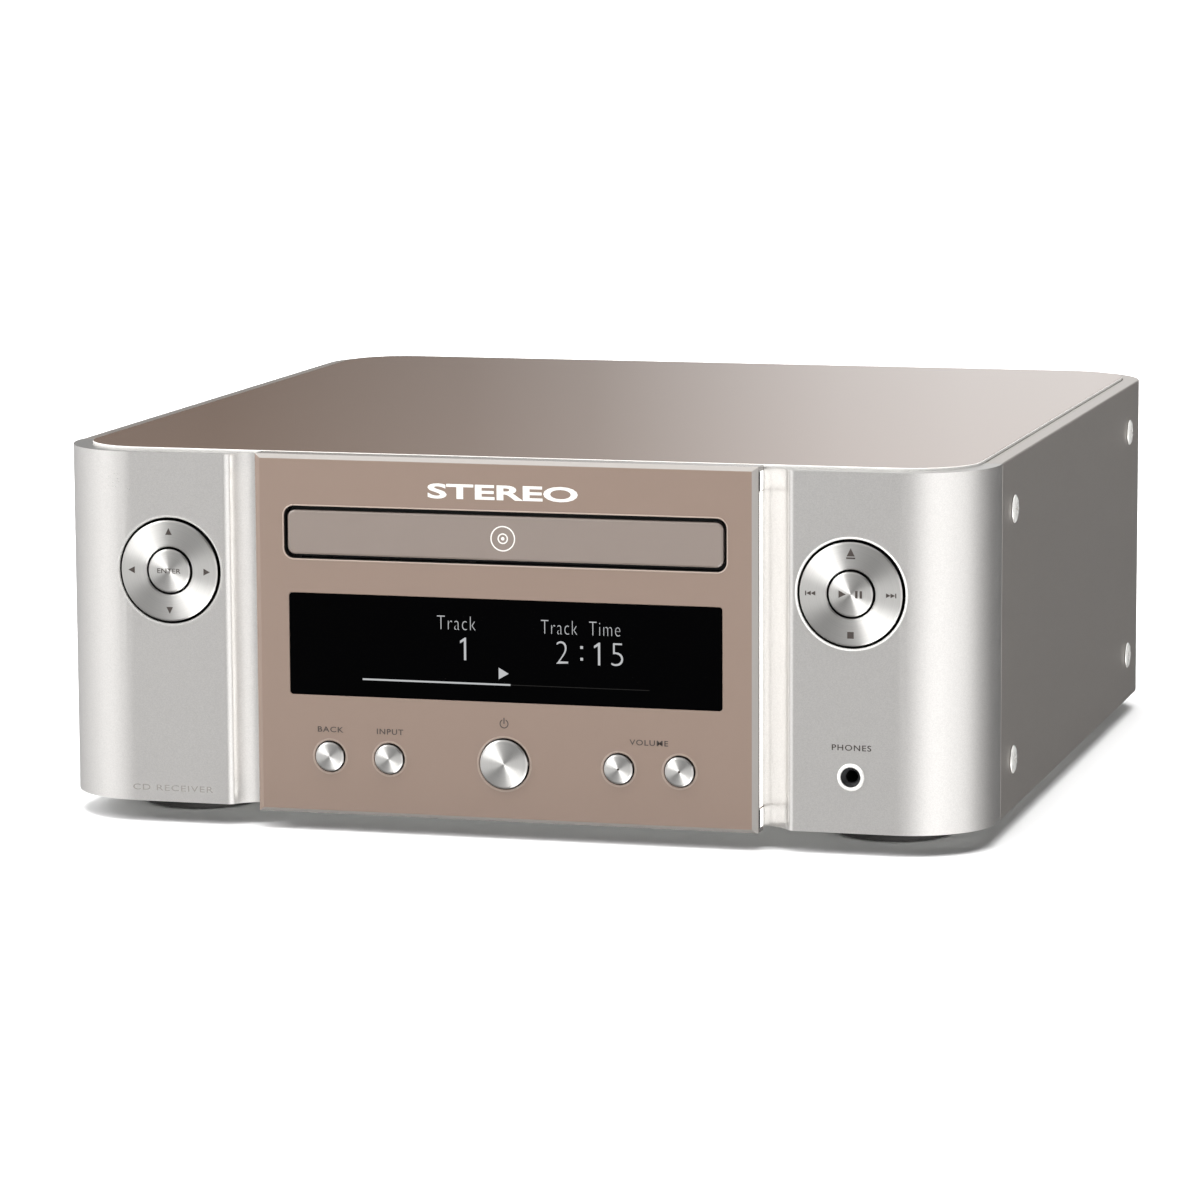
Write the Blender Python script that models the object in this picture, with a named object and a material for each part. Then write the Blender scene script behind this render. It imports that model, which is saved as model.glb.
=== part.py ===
"""Compact CD receiver: case, front, disc loader, boards and rear sockets, one object per piece.

Design sizes are in millimetres: X right, Y back from the front face of the wings, Z up from the floor.
"""

import math

import bmesh
import bpy
from mathutils import Matrix, Vector

MM = 0.001
GAP = 0.3

# Case
HALF_WIDTH = 140.0
SHELL_DEPTH = 290.0
CORNER = 26.0
BASE_Z = 6.4
RIM_Z = 110.2
FRONTMOST_Y = -2.5
REARMOST_Y = 300.5
CENTRE_Y = (FRONTMOST_Y + REARMOST_Y) / 2
SEAM_Y = 29.0
SHEET = 1.2
WALL = 2.5

# Top plate
PLATE_HALF = 134.4
PLATE_FRONT = 6.0
PLATE_BACK = 284.4
PLATE_Z = 109.8
PLATE_TOP = 111.0
PLATE_CORNER = 20.4

# Front: wings, coves and centre fascia
COVE_OUTER = 84.3
COVE_INNER = 75.9
COVE_DEPTH = 5.7
COVE_START = math.radians(60)
COVE_END = math.radians(8)
WEB_BACK = COVE_DEPTH + WALL
FASCIA_HALF = 75.4
FASCIA_Z = (5.2, 110.9)
FASCIA_FRONT = -1.5
FASCIA_BACK = COVE_DEPTH - GAP
FACE_BEVEL = 1.7
DOOR_HALF = 65.3
DOOR_Z = (81.8, 94.7)
SLOT_HALF = 66.4
SLOT_Z = (80.5, 96.0)
WINDOW_HALF = 65.1
WINDOW_Z = (40.4, 70.5)
GLOW_Z = (12.0, 103.8)

# Controls
RING_X = 102.3
RING_Z = 75.4
RING_HOLE = 15.75
RING_OUTER = 14.9
RING_INNER = 7.1
RING_KEY = 6.4
KEY_Z = 22.4
KEY_X = {"back_button": -53.0, "input_button": -34.9, "volume_down_button": 34.3, "volume_up_button": 52.4}
SMALL_KEY = 4.6
POWER_KEY = 7.5
JACK_X = 102.3
JACK_Z = 22.7
FRONT_BOARD_Y = 14.0

# Disc loader
TRAY_HALF = 62.0
TRAY_FRONT = 3.5
TRAY_BACK = 165.0
TRAY_TOP = 91.2
TRAY_BOTTOM = 85.0
RUNNER_Z = 83.0
DISC_Y = 74.0
DISH_RADIUS = 61.0
DISH_Z = 88.6
TRAY_SLOT = 22.0
LOADER_FRONT = 12.0
LOADER_BACK = 178.0
DECK_Z = (71.0, 73.2)
RACK_PITCH_X = -55.0
RACK_Z = 81.0
GEAR_Y = 32.0
RACK_MODULE = 1.25
RACK_PINION_TEETH = 16
TRAIN_MODULE = 1.0
BIG_GEAR_TEETH = 32
MOTOR_PINION_TEETH = 10
GEAR_X = RACK_PITCH_X + RACK_MODULE * RACK_PINION_TEETH / 2
MOTOR_X = GEAR_X + TRAIN_MODULE * (BIG_GEAR_TEETH + MOTOR_PINION_TEETH) / 2
TRAVERSE_Z = (73.6, 75.4)
RAIL_X = 24.0
RAIL_Z = 78.0
LENS_Y = 98.0

# Fasteners and feet
SCREW_Y = (47.0, 247.0)
SCREW_Z = (21.4, 95.0)
SCREW_HEAD = 4.1
FOOT_X = 107.0
FOOT_Y = (39.0, 245.0)
FOOT_RADIUS = 18.0

# Rear
PANEL_HALF = 112.6
PANEL_Y = (288.5, 289.7)
POST_X = (42.0, 61.0, 80.0, 99.0)
POST_Z = 37.0


def clear_scene():
    for item in list(bpy.data.objects):
        bpy.data.objects.remove(item, do_unlink=True)


def material(name, colour, roughness, metallic=0.0):
    made = bpy.data.materials.new(name)
    made.use_nodes = True
    shader = made.node_tree.nodes["Principled BSDF"]
    shader.inputs["Base Color"].default_value = (*colour, 1.0)
    shader.inputs["Roughness"].default_value = roughness
    shader.inputs["Metallic"].default_value = metallic
    return made


# ---- shapes, each a bmesh in design millimetres ----

def arc(cx, cy, radius, start, end, steps):
    """Points from start to end degrees, both ends included."""
    turn = math.radians(end - start) / steps
    first = math.radians(start)
    return [(cx + radius * math.cos(first + i * turn), cy + radius * math.sin(first + i * turn))
            for i in range(steps + 1)]


def rounded(x0, x1, y0, y1, radius, steps=4):
    return (arc(x1 - radius, y0 + radius, radius, -90, 0, steps)
            + arc(x1 - radius, y1 - radius, radius, 0, 90, steps)
            + arc(x0 + radius, y1 - radius, radius, 90, 180, steps)
            + arc(x0 + radius, y0 + radius, radius, 180, 270, steps))


def circle(cx, cy, radius, sides=24):
    return arc(cx, cy, radius, 0, 360 - 360 / sides, sides - 1)


def prism(outline, axis, start, end):
    """Extrude an outline along an axis; it lies in XY for Z, XZ for Y and YZ for X."""
    place = {"Z": lambda a, b, h: (a, b, h), "Y": lambda a, b, h: (a, h, b), "X": lambda a, b, h: (h, a, b)}[axis]
    bm = bmesh.new()
    face = bm.faces.new([bm.verts.new(place(a, b, start)) for a, b in outline])
    grown = bmesh.ops.extrude_face_region(bm, geom=[face])
    shift = Vector(place(0, 0, end)) - Vector(place(0, 0, start))
    bmesh.ops.translate(bm, verts=[v for v in grown["geom"] if isinstance(v, bmesh.types.BMVert)], vec=shift)
    bmesh.ops.recalc_face_normals(bm, faces=bm.faces)
    return bm


def block(x0, x1, y0, y1, z0, z1):
    return prism([(x0, y0), (x1, y0), (x1, y1), (x0, y1)], "Z", z0, z1)


def rod(a, b, radius, axis, start, end, sides=24):
    return prism(circle(a, b, radius, sides), axis, start, end)


def turned(profile, axis, a, b, sides=32):
    """Spin a closed profile of (radius, height) about an axis through (a, b)."""
    bm = bmesh.new()
    loop = [bm.verts.new((radius, 0, height)) for radius, height in profile]
    chain = [bm.edges.new((loop[i], loop[(i + 1) % len(loop)])) for i in range(len(loop))]
    bmesh.ops.spin(bm, geom=loop + chain, cent=(0, 0, 0), axis=(0, 0, 1), angle=2 * math.pi, steps=sides,
                   use_merge=True)
    bmesh.ops.remove_doubles(bm, verts=bm.verts, dist=1e-4)
    on_axis = [e for e in bm.edges if all(abs(v.co.x) + abs(v.co.y) < 1e-4 for v in e.verts)]
    bmesh.ops.delete(bm, geom=on_axis, context="EDGES")
    turn = {"Z": Matrix.Identity(4), "Y": Matrix.Rotation(-math.pi / 2, 4, "X"), "X": Matrix.Rotation(math.pi / 2, 4, "Y")}
    bm.transform(turn[axis])
    move = {"Z": (a, b, 0), "Y": (a, 0, b), "X": (0, a, b)}
    bm.transform(Matrix.Translation(move[axis]))
    bmesh.ops.recalc_face_normals(bm, faces=bm.faces)
    return bm


def gear_outline(cx, cy, module, teeth, turn=0.0, thin=0.16):
    """Involute teeth with straight-line flanks; thin is the backlash in millimetres per flank."""
    pitch = module * teeth / 2
    base = pitch * math.cos(math.radians(20))
    tip = pitch + 0.75 * module
    root = pitch - 1.05 * module

    def spread(radius):
        if radius <= base:
            return 0.0
        angle = math.acos(base / radius)
        return math.tan(angle) - angle

    half = math.pi / (2 * teeth) + spread(pitch) - thin / pitch
    radii = [root, tip] if module <= TRAIN_MODULE else [root, pitch, tip]
    points = []
    for tooth in range(teeth):
        middle = turn + 2 * math.pi * tooth / teeth
        rising = [(radius, middle - half + spread(radius)) for radius in radii]
        falling = [(radius, middle + half - spread(radius)) for radius in reversed(radii)]
        points += [(cx + r * math.cos(t), cy + r * math.sin(t)) for r, t in rising + falling]
    return points


def joined(shapes):
    """One bmesh of several separate shapes."""
    mesh = bpy.data.meshes.new("joined")
    whole = bmesh.new()
    for shape in shapes:
        shape.to_mesh(mesh)
        shape.free()
        whole.from_mesh(mesh)
    bpy.data.meshes.remove(mesh)
    return whole


# ---- objects ----

def to_world(x, y, z):
    return Vector((x * MM, (y - CENTRE_Y) * MM, z * MM))


def as_object(name, shape, origin):
    shape.transform(Matrix.Scale(MM, 4) @ Matrix.Translation(-Vector(origin)))
    mesh = bpy.data.meshes.new(name)
    shape.to_mesh(mesh)
    shape.free()
    mesh.shade_smooth()
    mesh.set_sharp_from_angle(angle=math.radians(35))
    made = bpy.data.objects.new(name, mesh)
    made.location = to_world(*origin)
    bpy.context.scene.collection.objects.link(made)
    return made


def boolean(target, shapes, operation, origin):
    tool = as_object(f"{target.name}_{operation.lower()}", joined(shapes), origin)
    tool.hide_render = True
    tool.display_type = "WIRE"
    step = target.modifiers.new(operation.title(), "BOOLEAN")
    step.operation = operation
    step.solver = "EXACT"
    step.use_self = True
    step.object = tool


def piece(name, finish, shape, add=(), cut=(), origin=(0.0, CENTRE_Y, 0.0)):
    made = as_object(name, shape, origin)
    made.data.materials.append(finish)
    if add:
        boolean(made, add, "UNION", origin)
    if cut:
        boolean(made, cut, "DIFFERENCE", origin)
    return made


# ---- case ----

def plate_outline(grow=0.0):
    return rounded(-PLATE_HALF - grow, PLATE_HALF + grow, PLATE_FRONT - grow, PLATE_BACK + grow,
                   PLATE_CORNER + grow, 6)


def cove(side):
    """The concave turn from the wing's face to the web beside the fascia, wing end first."""
    steps = 4
    radius = (COVE_OUTER - COVE_INNER) / (math.sin(COVE_START) - math.sin(COVE_END))
    drop = radius * (math.cos(COVE_END) - math.cos(COVE_START))
    points = []
    for i in range(steps + 1):
        slope = COVE_START + (COVE_END - COVE_START) * i / steps
        x = COVE_OUTER - radius * (math.sin(COVE_START) - math.sin(slope))
        y = radius * (math.cos(slope) - math.cos(COVE_START)) * COVE_DEPTH / drop
        points.append((side * x, y))
    return points


def bezel_outline():
    wing = HALF_WIDTH - CORNER
    right = arc(wing, CORNER, CORNER, -90, 0, 6) + [(HALF_WIDTH, SEAM_Y)]
    inner = [(HALF_WIDTH - WALL, SEAM_Y)] + arc(wing, CORNER, CORNER - WALL, 0, -90, 5)
    inner += [(87.5, WALL), (84.0, 6.8), (80.5, WEB_BACK)]
    left_inner = [(-x, y) for x, y in reversed(inner)]
    left = [(-x, y) for x, y in reversed(right)]
    return left + cove(-1) + list(reversed(cove(1))) + right + inner + left_inner


def front_bezel(silver):
    body = prism(bezel_outline(), "Z", BASE_Z, RIM_Z)
    wing = HALF_WIDTH - CORNER
    inner_wall = [(-HALF_WIDTH + 1.5, SEAM_Y)] + arc(-wing, CORNER, CORNER - 1.5, 180, 270, 5)
    roof = inner_wall + [(-88.0, 1.5), (-82.0, 7.5), (82.0, 7.5), (88.0, 1.5)]
    roof += arc(wing, CORNER, CORNER - 1.5, -90, 0, 5) + [(HALF_WIDTH - 1.5, SEAM_Y)]
    cuts = [
        prism(plate_outline(GAP), "Z", PLATE_Z - GAP, RIM_Z + 1),
        prism(rounded(-SLOT_HALF - 0.8, SLOT_HALF + 0.8, SLOT_Z[0] - 1.2, SLOT_Z[1] + 1.2, 3), "Y", 5, 9),
        block(-67.5, 67.5, 5, 9, WINDOW_Z[0] - 2, WINDOW_Z[1] + 2.5),
        rod(0, KEY_Z, 4.2, "Y", 5, 9, 10),
        rod(JACK_X, JACK_Z, 3.3, "Y", -1, 4, 16),
    ]
    cuts += [rod(x, KEY_Z, 3.0, "Y", 5, 9, 8) for x in KEY_X.values()]
    cuts += [rod(side * RING_X, RING_Z, RING_HOLE, "Y", -1, 4, 24) for side in (-1, 1)]
    piece("front_bezel", silver, body, add=[prism(roof, "Z", 107.6, RIM_Z - 0.15)], cut=cuts)


def case_cover(silver):
    wing = HALF_WIDTH - CORNER
    back = SHELL_DEPTH - CORNER
    start = SEAM_Y + GAP
    outline = [(-HALF_WIDTH, start), (HALF_WIDTH, start)] + arc(wing, back, CORNER, 0, 90, 6)
    outline += arc(-wing, back, CORNER, 90, 180, 6)
    hollow = CORNER - SHEET
    inside = [(-HALF_WIDTH + SHEET, start - 1), (HALF_WIDTH - SHEET, start - 1)] + arc(wing, back, hollow, 0, 90, 6)
    inside += arc(-wing, back, hollow, 90, 180, 6)
    cuts = [
        prism(inside, "Z", BASE_Z - 1, PLATE_Z - GAP - SHEET),
        prism(plate_outline(GAP), "Z", PLATE_Z - GAP, RIM_Z + 1),
        block(-PANEL_HALF - GAP, PANEL_HALF + GAP, 285, 292, BASE_Z - 1, 107.4),
    ]
    cuts += [rod(y, z, 1.9, "X", side * 141 - 3, side * 141 + 3, 8)
             for side in (-1, 1) for y in SCREW_Y for z in SCREW_Z]
    piece("case_cover", silver, prism(outline, "Z", BASE_Z, RIM_Z), cut=cuts)


def top_plate(acrylic):
    piece("top_plate", acrylic, prism(plate_outline(), "Z", PLATE_Z, PLATE_TOP))


def bottom_chassis(steel):
    floor = prism(rounded(-137.2, 137.2, 8.5, 288.0, 22.0, 6), "Z", BASE_Z, BASE_Z + SHEET)
    tabs = [block(*sorted((side * 136.0, side * 137.2)), y - 8, y + 8, BASE_Z + 0.4, 101.0)
            for side in (-1, 1) for y in SCREW_Y]
    vents = [prism(rounded(-40, 40, 60 + 16 * i, 64 + 16 * i, 1.5, 1), "Z", 5, 9) for i in range(6)]
    holes = [rod(y, z, 1.9, "X", side * 136.6 - 3, side * 136.6 + 3, 8)
             for side in (-1, 1) for y in SCREW_Y for z in SCREW_Z]
    piece("bottom_chassis", steel, floor, add=tabs, cut=vents + holes)


def feet(rubber):
    profile = [(0, 0), (FOOT_RADIUS - 1.2, 0), (FOOT_RADIUS, 1.0), (FOOT_RADIUS - 0.6, 6.1), (0, 6.1)]
    for front_or_rear, y in zip(("front", "rear"), FOOT_Y):
        for side_name, side in (("left", -1), ("right", 1)):
            piece(f"{front_or_rear}_{side_name}_foot", rubber, turned(profile, "Z", side * FOOT_X, y, 24))


def case_screws(bright):
    profile = [(0, 134.5), (1.5, 134.5), (1.5, 140.25), (SCREW_HEAD, 140.25), (3.0, 141.0), (0, 141.0)]
    for side_name, side in (("left", -1), ("right", 1)):
        places = [(y, z) for y in SCREW_Y for z in SCREW_Z]
        for number, (y, z) in enumerate(places, 1):
            shape = turned(profile, "X", y, z, 12)
            if side < 0:
                shape.transform(Matrix.Scale(-1, 4, (1, 0, 0)))
                bmesh.ops.reverse_faces(shape, faces=shape.faces)
            piece(f"case_screw_{side_name}_{number}", bright, shape)


# ---- centre fascia ----

def centre_fascia(acrylic):
    low, high = FASCIA_Z
    bevel_y = FASCIA_FRONT + 1.2
    body = block(-FASCIA_HALF, FASCIA_HALF, bevel_y, FASCIA_BACK, low, high)
    front = [f for f in body.faces if f.normal.y < -0.9]
    grown = bmesh.ops.extrude_face_region(body, geom=front)
    bmesh.ops.delete(body, geom=front, context="FACES")
    mid_z = (low + high) / 2
    for vert in [v for v in grown["geom"] if isinstance(v, bmesh.types.BMVert)]:
        vert.co.y = FASCIA_FRONT
        vert.co.x -= math.copysign(FACE_BEVEL, vert.co.x)
        vert.co.z -= math.copysign(FACE_BEVEL * 0.7, vert.co.z - mid_z)
    bmesh.ops.recalc_face_normals(body, faces=body.faces)
    cuts = [
        block(-70.5, 70.5, 1.5, 7, 8.5, 107.5),
        prism(rounded(-SLOT_HALF, SLOT_HALF, *SLOT_Z, 3.0, 5), "Y", -3, 3),
        prism(rounded(-WINDOW_HALF, WINDOW_HALF, *WINDOW_Z, 1.0, 3), "Y", -3, 3),
        rod(0, KEY_Z, POWER_KEY + 0.5, "Y", -3, 3, 28),
    ]
    cuts += [rod(x, KEY_Z, SMALL_KEY + 0.5, "Y", -3, 3, 20) for x in KEY_X.values()]
    cuts += [block(*sorted((side * 72.1, side * 76)), 1.1, 7, *GLOW_Z) for side in (-1, 1)]
    piece("centre_fascia", acrylic, body, cut=cuts)


def display(glass, module):
    lens = prism(rounded(-WINDOW_HALF + GAP, WINDOW_HALF - GAP, WINDOW_Z[0] + GAP, WINDOW_Z[1] - GAP, 0.8, 3),
                 "Y", FASCIA_FRONT + 0.05, 2.4)
    flange = block(-66.9, 66.9, 1.8, 3.0, WINDOW_Z[0] - 1.6, WINDOW_Z[1] + 1.6)
    piece("display_window", glass, lens, add=[flange])
    board = block(-66.0, 66.0, 8.4, 9.6, WINDOW_Z[0] - 1.0, WINDOW_Z[1] + 1.5)
    piece("display_module", module, board, add=[block(-63, 63, 3.4, 8.6, WINDOW_Z[0], WINDOW_Z[1] + 0.5)])


def light_guides(clear):
    for side_name, side in (("left", -1), ("right", 1)):
        piece(f"light_guide_{side_name}", clear,
              block(*sorted((side * 72.4, side * 75.3)), 1.4, 5.3, GLOW_Z[0] + GAP, GLOW_Z[1] - GAP))


def push_button(name, finish, x, z, radius, stem, front, cap_back, sides):
    profile = [(0, front), (radius - 0.35, front), (radius, front + 0.35), (radius, cap_back), (stem, cap_back),
               (stem, 12.4), (0, 12.4)]
    piece(name, finish, turned(profile, "Y", x, z, sides), origin=(x, front, z))


def fascia_buttons(spun):
    for name, x in KEY_X.items():
        push_button(name, spun, x, KEY_Z, SMALL_KEY, 2.2, FRONTMOST_Y + 0.1, 2.0, 20)
    push_button("power_button", spun, 0, KEY_Z, POWER_KEY, 3.2, FRONTMOST_Y, 2.4, 28)


def ring_controls(spun):
    profile = [(RING_INNER, -0.2), (RING_INNER + 0.4, -0.5), (RING_OUTER - 0.5, -0.9), (RING_OUTER, -0.4),
               (RING_OUTER, 3.6), (RING_INNER, 3.6)]
    for name, key, side in (("cursor_ring", "enter_button", -1), ("transport_ring", "play_button", 1)):
        x = side * RING_X
        posts = [rod(x + dx, RING_Z + dz, 1.2, "Y", 3.4, 12.4, 6)
                 for dx, dz in ((11, 0), (-11, 0), (0, 11), (0, -11))]
        piece(name, spun, turned(profile, "Y", x, RING_Z, 24), add=posts, origin=(x, 3.6, RING_Z))
        push_button(key, spun, x, RING_Z, RING_KEY, 2.5, -1.0, 3.0, 24)


def headphone_jack(bright):
    nose = [(0, -0.7), (3.4, -0.7), (3.8, -0.3), (3.0, -0.3), (3.0, 4.0), (0, 4.0)]
    body = block(JACK_X - 6, JACK_X + 6, 3.0, 13.6, JACK_Z - 6, JACK_Z + 6)
    piece("headphone_jack", bright, body, add=[turned(nose, "Y", JACK_X, JACK_Z, 16)],
          cut=[rod(JACK_X, JACK_Z, 1.85, "Y", -2, 12.5, 16)])


# ---- disc loader ----

def tray_door(acrylic):
    face = prism(rounded(-DOOR_HALF, DOOR_HALF, *DOOR_Z, 2.0, 5), "Y", FASCIA_FRONT + 0.1, 3.2)
    piece("tray_door", acrylic, face, origin=(0, FASCIA_FRONT, sum(DOOR_Z) / 2))


def rack(x_pitch, start, count):
    """Straight teeth facing +X, one pitch each, in step with the gear at GEAR_Y."""
    pitch = math.pi * RACK_MODULE
    lean = math.tan(math.radians(20))
    out, deep, thin = 0.75 * RACK_MODULE, 1.0 * RACK_MODULE, 0.14
    points = [(x_pitch - 4.0, start - pitch / 2)]
    for i in range(count):
        y = start + i * pitch
        foot = pitch / 4 - thin + deep * lean
        head = pitch / 4 - thin - out * lean
        points += [(x_pitch - deep, y - foot), (x_pitch + out, y - head), (x_pitch + out, y + head),
                   (x_pitch - deep, y + foot)]
    points.append((x_pitch - 4.0, start + (count - 0.5) * pitch))
    return points


def disc_tray(plastic):
    body = prism(rounded(-TRAY_HALF, TRAY_HALF, TRAY_FRONT, TRAY_BACK, 2, 2), "Z", TRAY_BOTTOM, TRAY_TOP)
    runners = [block(*sorted((side * 59.2, side * 61.8)), 6, 163, RUNNER_Z, TRAY_BOTTOM + 0.5) for side in (-1, 1)]
    teeth = prism(rack(RACK_PITCH_X, GEAR_Y, 34), "Z", RACK_Z, TRAY_BOTTOM + 0.5)
    slot = arc(0, DISC_Y, TRAY_SLOT, 180, 360, 10) + [(TRAY_SLOT, 170), (-TRAY_SLOT, 170)]
    cuts = [
        prism(slot, "Z", RUNNER_Z - 1, TRAY_TOP + 1),
        rod(0, DISC_Y, DISH_RADIUS, "Z", DISH_Z, TRAY_TOP + 1, 36),
    ]
    piece("disc_tray", plastic, body, add=runners + [teeth], cut=cuts, origin=(0, TRAY_FRONT, TRAY_BOTTOM))


def loader_frame(plastic):
    deck = block(-65.5, 65.5, LOADER_FRONT, LOADER_BACK, *DECK_Z)
    walls = [block(*sorted((side * 62.5, side * 65.5)), LOADER_FRONT, LOADER_BACK, DECK_Z[0] + 0.4, 97.0)
             for side in (-1, 1)]
    ledges = [block(*sorted((side * 60.0, side * 62.9)), LOADER_FRONT, 168, 80.7, RUNNER_Z - GAP) for side in (-1, 1)]
    beam = block(-62.9, 62.9, LOADER_BACK - 3, LOADER_BACK, DECK_Z[1] - 0.4, 90.0)
    legs = [block(x - 4, x + 4, y - 4, y + 4, BASE_Z + SHEET + GAP, DECK_Z[0] + 0.4)
            for x in (-58.5, 58.5) for y in (60, 171)]
    post = rod(GEAR_X, GEAR_Y, 2.0, "Z", DECK_Z[1] - 0.4, 84.2, 16)
    made = piece("loader_frame", plastic, deck, add=walls + legs + [post],
                 cut=[block(-40, 40, 62, 156, 70, 74), rod(MOTOR_X, GEAR_Y, 3.0, "Z", 70, 74, 16)])
    boolean(made, ledges + [beam], "UNION", (0.0, CENTRE_Y, 0.0))


def loading_train(motor_metal, nylon):
    can = rod(MOTOR_X, GEAR_Y, 11.0, "Z", 49.0, DECK_Z[0] - GAP, 24)
    piece("loading_motor", motor_metal, can, add=[rod(MOTOR_X, GEAR_Y, 4.0, "Z", 46.5, 49.4, 16)])
    pinion = prism(gear_outline(MOTOR_X, GEAR_Y, TRAIN_MODULE, MOTOR_PINION_TEETH), "Z", 73.6, 78.0)
    piece("motor_pinion", nylon, pinion, add=[rod(MOTOR_X, GEAR_Y, 2.0, "Z", DECK_Z[0], 73.8, 12)],
          origin=(MOTOR_X, GEAR_Y, 73.6))
    half_tooth = math.pi / BIG_GEAR_TEETH
    big = prism(gear_outline(GEAR_X, GEAR_Y, TRAIN_MODULE, BIG_GEAR_TEETH, half_tooth), "Z", 73.6, 77.4)
    small = prism(gear_outline(GEAR_X, GEAR_Y, RACK_MODULE, RACK_PINION_TEETH, math.pi / RACK_PINION_TEETH),
                  "Z", 77.2, TRAY_BOTTOM - 0.6)
    piece("loading_gear", nylon, big, add=[small], cut=[rod(GEAR_X, GEAR_Y, 2.35, "Z", 70, 86, 16)],
          origin=(GEAR_X, GEAR_Y, 73.6))


def clamp(steel, plastic):
    bar = block(-65.5, 65.5, 56, 92, 97.3, 98.7)
    piece("clamper_bridge", steel, bar, cut=[rod(0, DISC_Y, 12.0, "Z", 96, 100, 28)])
    profile = [(0, 92.0), (14.0, 92.0), (15.0, 92.8), (15.0, 94.4), (10.0, 94.8), (10.0, 99.0), (14.5, 99.0),
               (14.5, 101.0), (0, 101.0)]
    piece("disc_clamp", plastic, turned(profile, "Z", 0, DISC_Y, 20), origin=(0, DISC_Y, 92.0))


def traverse(steel, motor_metal, plastic, bright, lens_body):
    low, high = TRAVERSE_Z
    plate = prism(rounded(-46, 46, 54, 160, 5, 3), "Z", low, high)
    blocks = [block(x - 4, x + 4, y - 2, y + 2, high - 0.4, RAIL_Z + 3.2) for x in (-RAIL_X, RAIL_X) for y in (84, 157)]
    cuts = [block(-19.5, 19.5, 88, 153.5, low - 1, high + 1), rod(RAIL_X, RAIL_Z, 1.8, "Y", 80, 162, 12),
            rod(-RAIL_X, RAIL_Z, 2.3, "Y", 80, 162, 12)]
    piece("traverse_chassis", steel, plate, add=blocks, cut=cuts)
    shaft = rod(0, DISC_Y, 1.0, "Z", 85.6, 87.2, 12)
    piece("spindle_motor", motor_metal, rod(0, DISC_Y, 12.0, "Z", high + GAP, 86.0, 28), add=[shaft])
    table = [(0, 87.5), (15.0, 87.5), (15.0, 89.0), (8.2, 89.0), (7.4, 89.4), (5.6, 91.4), (0, 91.4)]
    piece("turntable", plastic, turned(table, "Z", 0, DISC_Y, 20), origin=(0, DISC_Y, 87.5))
    piece("guide_rod", bright, rod(RAIL_X, RAIL_Z, 1.5, "Y", 81.0, 159.5, 12))
    screw = rod(-RAIL_X, RAIL_Z, 2.0, "Y", 81.0, 160.0, 12)
    piece("lead_screw", bright, screw, origin=(-RAIL_X, 81.0, RAIL_Z))
    piece("sled_motor", motor_metal, rod(-RAIL_X, RAIL_Z, 4.5, "Y", 160.4, 173.5, 16))
    body = block(-18, 18, 90, 118, 71.0, 82.3)
    ears = [block(*sorted((side * 17.6, side * 28)), 92, 104, 75.8, 80.6) for side in (-1, 1)]
    holes = [rod(RAIL_X, RAIL_Z, 1.8, "Y", 80, 120, 12), rod(-RAIL_X, RAIL_Z, 2.3, "Y", 80, 120, 12)]
    piece("laser_pickup", lens_body, body, add=ears + [rod(0, LENS_Y, 3.5, "Z", 82.0, 84.2, 20)], cut=holes,
          origin=(0, 90, RAIL_Z))


# ---- boards ----

def front_board(board):
    strip = block(-126, 126, FRONT_BOARD_Y, FRONT_BOARD_Y + 1.6, 10, 69)
    uprights = [block(*sorted((side * 72, side * 125.9)), FRONT_BOARD_Y + 0.01, FRONT_BOARD_Y + 1.59, 60, 95)
                for side in (-1, 1)]
    chip = block(-15, 10, FRONT_BOARD_Y + 1.2, FRONT_BOARD_Y + 4.0, 40, 60)
    piece("front_board", board, strip, add=uprights + [chip])


def main_board(board):
    rear = [(-66, 186), (72, 186), (72, 40), (134, 40), (134, 262), (112, 285), (-66, 285)]
    slab = prism(rear, "Z", 12.0, 13.6)
    parts = [block(-50, -20, 200, 230, 13.2, 17), block(-5, 25, 205, 235, 13.2, 16.5), block(84, 118, 50, 84, 13.2, 24)]
    parts += [rod(x, 250, 5, "Z", 13.2, 30, 10) for x in (-16, 0, 18, 50)]
    posts = [rod(x, y, 3, "Z", BASE_Z + SHEET + GAP, 12.4, 6) for x, y in ((-60, 192), (-60, 279), (128, 46), (78, 279))]
    piece("main_board", board, slab, add=parts + posts)


def heatsink(alloy):
    base = block(82, 120, 100, 170, 14.0, 20.0)
    fins = [block(82.5 + 6 * i, 84.5 + 6 * i, 100.5, 169.5, 19.6, 62.0) for i in range(7)]
    piece("heatsink", alloy, base, add=fins)


def power_supply_board(board):
    slab = block(-134, -72, 40, 262, 12.0, 13.6)
    parts = [block(-120, -84, 150, 190, 13.2, 46), block(-122, -104, 60, 84, 13.2, 34)]
    parts += [rod(-88, y, 9, "Z", 13.2, 48, 14) for y in (70, 92, 120)]
    posts = [rod(x, y, 3, "Z", BASE_Z + SHEET + GAP, 12.4, 6) for x in (-128, -78) for y in (66, 230)]
    piece("power_supply_board", board, slab, add=parts + posts)


def network_board(board):
    slab = block(-62, -26, 236, 286, 26.0, 27.6)
    jack = block(-56, -40, 270, 291, 27.2, 41.0)
    optical = block(-36.5, -27, 276, 291, 27.2, 38.0)
    cavities = [block(-54, -42, 279, 292, 29.5, 38.5), block(-34.6, -29, 283, 292, 29.8, 35.6)]
    legs = [rod(x, 240, 2.5, "Z", 13.9, 26.4, 10) for x in (-57, -31)]
    piece("network_board", board, slab, add=[jack, optical] + legs, cut=cavities)


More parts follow.
